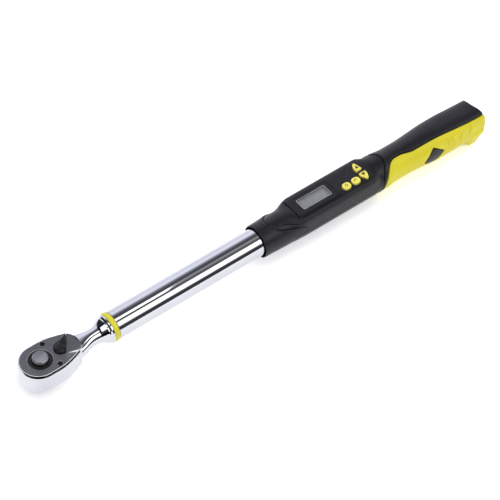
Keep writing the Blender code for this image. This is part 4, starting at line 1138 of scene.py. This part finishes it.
def make_key(name, outline):
    """Rubber key with a rounded, slightly dished top and a dark generic mark."""
    edge = fillet([(0.5, 12.2), (0.5, KEY_TOP - 0.3), (1.6, KEY_TOP), (2.6, KEY_TOP - 0.05)],
                  [0, 0.9, 0.5, 0], 5)
    rings = [level(drawn_in(outline, inset), z) for inset, z in edge]
    key = to_object(name.replace("key", "cap"), loft(rings), KEY_YELLOW)
    marks = [to_object(f"{name}_mark_{i}", prism(mark, KEY_TOP - 0.4, KEY_TOP + 0.02, 0.05), KEY_MARK)
             for i, mark in enumerate(key_marks(name, *middle_of(outline)))]
    return merged(key, *marks)


make_housing()
piece(make_bezel(), "wrench", "black_plastic", "display_bezel")
piece(make_window_pane(), "wrench", "clear_window", "display_lens")
piece(make_lcd(), "wrench", "lcd_grey", "lcd_module")
for key_name, key_outline in KEYS.items():
    piece(make_key(key_name, key_outline), key_name.replace("key", "button"), "key_yellow", key_name)


# ---------------------------------------------------------------- grip

def grip_round(x):
    waist = 16.9 + 1.2 * smooth_step((402.0 - x) / 14.0)
    swell = 2.2 * smooth_step((x - 415.0) / 42.0)
    taper = 1.8 * smooth_step((x - 468.0) / 38.0)
    return waist + swell - taper


def grip_squareness(x):
    """0 where the grip is round, at the waist, to 1 where it is a rounded square, in the palm."""
    return smooth_step((x - 420.0) / 50.0)


def grip_plain(x, angle):
    """Skin of the grip without its toe. Arrays in, array out."""
    plain = grip_round(x)
    s, c = np.abs(np.sin(angle)), np.abs(np.cos(angle))
    power = GRIP_POWER + 0.3 * smooth_step((x - 480.0) / 22.0)
    square = plain / GRIP_REACH * (s ** power + c ** power) ** (-1 / power)
    return plain + (square - plain) * grip_squareness(x)


def skin_floor(x):
    """How far down the core the soft skin may reach."""
    sunk = 0.5 * grip_squareness(x) * (1.0 - 0.8 * smooth_step((x - 475.0) / 25.0))
    return grip_round(x) - sunk


def grip_radius(x, angle):
    """Skin of the grip with its toe, without ribs."""
    plain = grip_plain(x, angle)
    s, c = np.abs(np.sin(angle)), np.cos(angle)
    down = np.maximum(-c, 1e-3)
    depth = smooth_step((x - 486.0) / 9.5)
    wedge = np.minimum(-TOE_Z / down, (TOE_HALF - TOE_FLARE * TOE_Z) / (s + TOE_FLARE * down))
    rounding = ((down / -TOE_Z) ** 4 + (s / TOE_WIDEST) ** 4) ** (-1 / 4)
    reach = np.minimum(wedge, rounding)
    share = depth * smooth_step((-c - 0.2) / 0.25)
    return plain + np.maximum(0.0, reach - plain) * share


def grip_end_x(angle):
    """The end face: it leans back from its top, bulges at its near corner and is drawn forward to the toe."""
    c = np.cos(angle)
    drawn = GRIP_X1 + END_LEAN - TOE_X
    off_corner = np.abs((np.degrees(angle) + 180.0) % 360.0 - 180.0 - CORNER_ANGLE)
    corner = CORNER_BULGE * smooth_step(1.25 - off_corner / CORNER_SPREAD)
    end = GRIP_X1 - END_LEAN * c - drawn * smooth_step((0.25 - c) / 1.25) + corner
    return np.minimum(end, GRIP_X1 + END_LIMIT)


# Each finger groove: where it begins and ends, as x and degrees from the top.
RIBS = [((460.8, 53.0), (463.0, 85.5)), ((466.8, 55.0), (468.8, 92.0)), ((478.3, 56.0), (477.3, 92.0)),
        ((491.0, 56.0), (489.0, 88.0))]


def rib_depth(x, degrees):
    """Finger grooves across the skin, on both flanks."""
    depth = np.zeros_like(x)
    for (x0, a0), (x1, a1) in RIBS:
        along = (np.abs(degrees) - a0) / (a1 - a0)
        middle = x0 + (x1 - x0) * along
        fade = smooth_step((along + 0.12) / 0.3) * smooth_step((1.25 - along) / 0.35)
        depth = depth + 1.25 * fade * swell(x - middle, 1.15)
    return depth


def seam_rise(x):
    """How far a seam still is from its run along the grip: 1 at the grip's front edge, 0 from 21 mm on."""
    return max(0.0, 1.0 - (x - 383.0) / 21.0) ** 2.2


def near_seam(x):
    crest = 10.5 * float(smooth_step((x - 408.0) / 17.0)) + 13.0 * float(smooth_step((x - 440.0) / 66.0))
    return 25.5 + 86.0 * seam_rise(x) + crest


def far_seam(x):
    return 360.0 - FAR_SEAM - 40.0 * seam_rise(x)


def seams(x):
    """The two seams' angles from the top round the near side, and the radius there."""
    x = max(x, SKIN_X0)
    return near_seam(x), far_seam(x), float(grip_round(x))


def grip_stations(first):
    """Places along the grip, closer together where it changes fast."""
    return np.unique(np.concatenate([np.linspace(first, 404.0, 44), np.linspace(404.0, 484.0, 110),
                                     np.linspace(484.0, GRIP_X1 - 1.5, 40)]))


def wrapped(x, angle):
    """x with the end face's slant worked in over the last stretch."""
    last = 496.0
    return np.where(x <= last, x, last + (x - last) * (grip_end_x(angle) - last) / (GRIP_X1 - last))


# Rounding of the grip's end: distance from the end face and drop below the skin.
END_ROUND = [(1.5, 0.0), (1.15, 0.1), (0.8, 0.26), (0.5, 0.5), (0.25, 0.85), (0.08, 1.15), (0.0, 1.4)]


def make_skin():
    """Soft yellow skin: rounded edges along its seams, finger grooves, and the toe at its end."""
    edge = [(0.0, 1.5), (0.06, 1.0), (0.2, 0.6), (0.5, 0.22), (0.9, 0.05), (1.4, 0.0)]
    outer, inner = [], []
    rows = [(SKIN_X0 + along, drop) for along, drop in edge[:-1]]
    rows += [(x, 0.0) for x in grip_stations(SKIN_X0 + edge[-1][0] + 0.1)]
    rows += [(GRIP_X1 - back, drop) for back, drop in END_ROUND[1:]]
    for x, drop in rows:
        start, end, base = seams(x)
        near = [(start + math.degrees(a / base), d) for a, d in edge]
        far = [(end - math.degrees(a / base), d) for a, d in reversed(edge)]
        middle = [(a, 0.0) for a in np.linspace(near[-1][0], far[0][0], 170)[1:-1]]
        degrees, dips = np.array(near + middle + far).T
        angle = np.radians(degrees)
        place = np.full_like(angle, x)
        signed = (degrees + 180.0) % 360.0 - 180.0
        along = wrapped(place, angle)
        radius = grip_radius(along, angle) - np.maximum(dips, drop) - rib_depth(place, signed)
        outer.append(polar(along, radius, angle))
        inner.append(polar(along, np.minimum(radius - 0.3, skin_floor(along) - SKIN + 0.2), angle))
    skin = to_object("grip_skin", thick_sheet(outer, inner), GRIP_YELLOW, 50.0)
    for side in (1, -1):
        carve(skin, loft([[(x, -side * y, z) for x, z in diamond_outline(0.0)] for y in (10.0, 30.0)]))
    for _, x, _ in BOTTOM_SCREWS[2:]:
        carve(skin, post(3.5, -30.0, 0.0, x))
    return skin


def diamond_outline(edge):
    """Leaning rhombus with rounded corners, in x and z."""
    long, tall, lean = 11.6 - edge * 1.4, 11.8 - edge * 1.4, 0.17
    corners = [(DIAMOND_X - long - 0.2, -lean * long - 1.7), (DIAMOND_X + 1.0, -tall - 2.2),
               (DIAMOND_X + long + 2.8, lean * long - 2.2), (DIAMOND_X + 0.6, tall - 1.3)]
    return fillet(corners, 2.6, 6, closed=True)


def make_core():
    """Hard core of the grip: shows along the top, in the joint with the housing and in the two diamonds."""
    edge = [(1.1, 2.6), (1.12, 1.6), (1.25, 1.0), (1.5, 0.5), (1.9, 0.15), (2.4, 0.0)]

    def ring(x_of, x_mid, drop, covered):
        """One ring; where the skin covers it, it sinks below the skin between the two seams."""
        start, end, base = seams(x_mid)
        near = [(start - math.degrees(a / base), d * covered) for a, d in reversed(edge)]
        far = [(end + math.degrees(a / base), d * covered) for a, d in edge]
        top = [(a, 0.0) for a in np.linspace(far[-1][0], near[0][0] + 360.0, 90)[1:-1]]
        under = [(a, edge[0][1] * covered) for a in np.linspace(near[-1][0], far[0][0], 90)[1:-1]]
        degrees, dips = np.array(near + under + far + top).T
        angle = np.radians(degrees)
        place = wrapped(x_of(angle), angle)
        open_skin = grip_radius(place, angle) - np.maximum(dips, drop)
        radius = np.where(dips >= 2.5, skin_floor(place) - 2.35, open_skin)
        return polar(place, radius - CORE_DROP, angle)

    rings = []
    for ahead, drop in ((0.3, 2.4), (0.3, 1.9), (1.1, 1.8), (1.7, 1.4), (2.1, 0.7), (2.5, 0.2), (2.8, 0.0)):
        rings.append(ring(lambda a, s=ahead: collar_x(a) + s, 0.0, drop, 0))
    for x in np.linspace(383.0, 392.0, 24):
        rings.append(ring(lambda a, s=x: np.maximum(s, collar_x(a) + 2.8 + (s - 383.0) * 0.02), x, 0.0,
                          int(x > 383.05)))
    for x in grip_stations(392.4):
        rings.append(ring(lambda a, s=x: np.full_like(a, s), x, 0.0, 1))
    for back, drop in END_ROUND[1:]:
        rings.append(ring(lambda a, b=back: np.full_like(a, GRIP_X1 - b), GRIP_X1 - back, drop, 1))
    core = to_object("grip_core_body", loft(rings), GRIP_BLACK, 50.0)
    return carve(core, lathe([(SLEEVE_BORE_R, 370.0), (SLEEVE_BORE_R, 520.0)], "X", steps=128))


def make_diamond_pad(side):
    """Raised pad that fills a diamond, crowned and level with the skin round it."""
    outline = dense(diamond_outline(0.75), 0.6, closed=True)
    cx, cz = middle_of(outline)
    rings = []
    for share, drop in ((1.0, 3.0), (1.0, 0.9), (0.985, 0.5), (0.95, 0.28), (0.88, 0.2), (0.72, 0.14),
                        (0.5, 0.05), (0.25, 0.0), (0.08, 0.0)):
        ring = []
        for x, z in outline:
            px, pz = cx + (x - cx) * share, cz + (z - cz) * share
            reach = float(grip_round(px))
            for _ in range(4):
                out = math.sqrt(max(reach ** 2 - pz ** 2, 1.0))
                reach = float(grip_plain(px, math.atan2(out, pz))) - drop
            ring.append((px, -side * math.sqrt(max(reach ** 2 - pz ** 2, 1.0)), pz))
        rings.append(ring)
    return to_object(f"diamond_pad_{'near' if side > 0 else 'far'}", loft(rings), GRIP_BLACK, 50.0)


def make_cap():
    """Battery cap with a coin slot, a fine ring on its face and a groove for the seal."""
    x0, x1 = CAP_X0, CAP_X1
    groove = 12.4
    profile = fillet([(4.0, x0), (CAP_R, x0), (CAP_R, x0 + 2.0), (groove, x0 + 2.0), (groove, x0 + 4.4),
                      (CAP_R, x0 + 4.4), (CAP_R, x1), (1.0, x1)], [0, 0.5, 0.15, 0.1, 0.1, 0.15, 0.8, 0], 4)
    cap = to_object("end_cap", lathe(profile, "X", steps=96), GRIP_BLACK)
    slot = prism(rounded_rectangle(-1.1, 1.1, -9.5, 9.5, 1.0), x1 - 1.6, x1 + 5.0)
    carve(cap, moved(slot, Matrix.Rotation(math.pi / 2, 4, "Y")))
    face_ring = [(11.2, x1 - 0.25), (11.2, x1 + 1.0), (11.6, x1 + 1.0), (11.6, x1 - 0.25)]
    return carve(cap, lathe(face_ring, "X", steps=96, ring=True))


def make_seal():
    profile = arc(13.25, 497.2, 0.82, 0, 360, 20)[:-1]
    return to_object("end_seal", lathe(profile, "X", steps=96, ring=True), RUBBER)


def make_bottom_screw(name, x, low):
    profile = fillet([(1.4, low + 2.0), (2.9, low + 1.2), (2.9, low), (1.4, low)], [0, 0.1, 0.45, 0], 4)
    screw = to_object(name + "_head", lathe(profile, centre=(x, 0, 0), steps=48), OXIDE)
    return carve(screw, post(1.35, low - 1.0, low + 0.9, x, steps=6))


piece(merged(make_core(), make_diamond_pad(1), make_diamond_pad(-1)), "wrench", "black_plastic", "grip_core")
piece(make_skin(), "wrench", "yellow_rubber", "grip_overmold")
piece(make_cap(), "cap", "black_plastic", "battery_cap")
piece(make_seal(), "seal", "black_rubber", "cap_seal")
for screw_name, screw_x, screw_low in BOTTOM_SCREWS:
    piece(make_bottom_screw(screw_name, screw_x, screw_low), "wrench", "black_oxide", screw_name)


# ---------------------------------------------------------------- pieces inside, on their CAD shapes

INSIDE = {
    "head_pin": OXIDE, "beam_pin": OXIDE, "measuring_beam": SPRING, "strain_gauge_left": FOIL,
    "strain_gauge_right": FOIL, "gauge_cable": RUBBER, "circuit_board": BOARD, "board_screw_1": OXIDE,
    "board_screw_2": OXIDE, "keypad_mat": RUBBER, "buzzer": BEZEL_MAT, "battery_sleeve": GRIP_BLACK,
    "battery_1": WRAP, "battery_2": WRAP, "battery_contact": BRASS, "battery_cable": RUBBER,
    "battery_spring": SPRING, "release_spring": SPRING, "lever_detent_pin": SPRING,
    "lever_detent_spring": SPRING, "pawl": SPRING,
}
for node_name, finish in INSIDE.items():
    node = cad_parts[node_name]
    node.data.materials.clear()
    node.data.materials.append(finish)
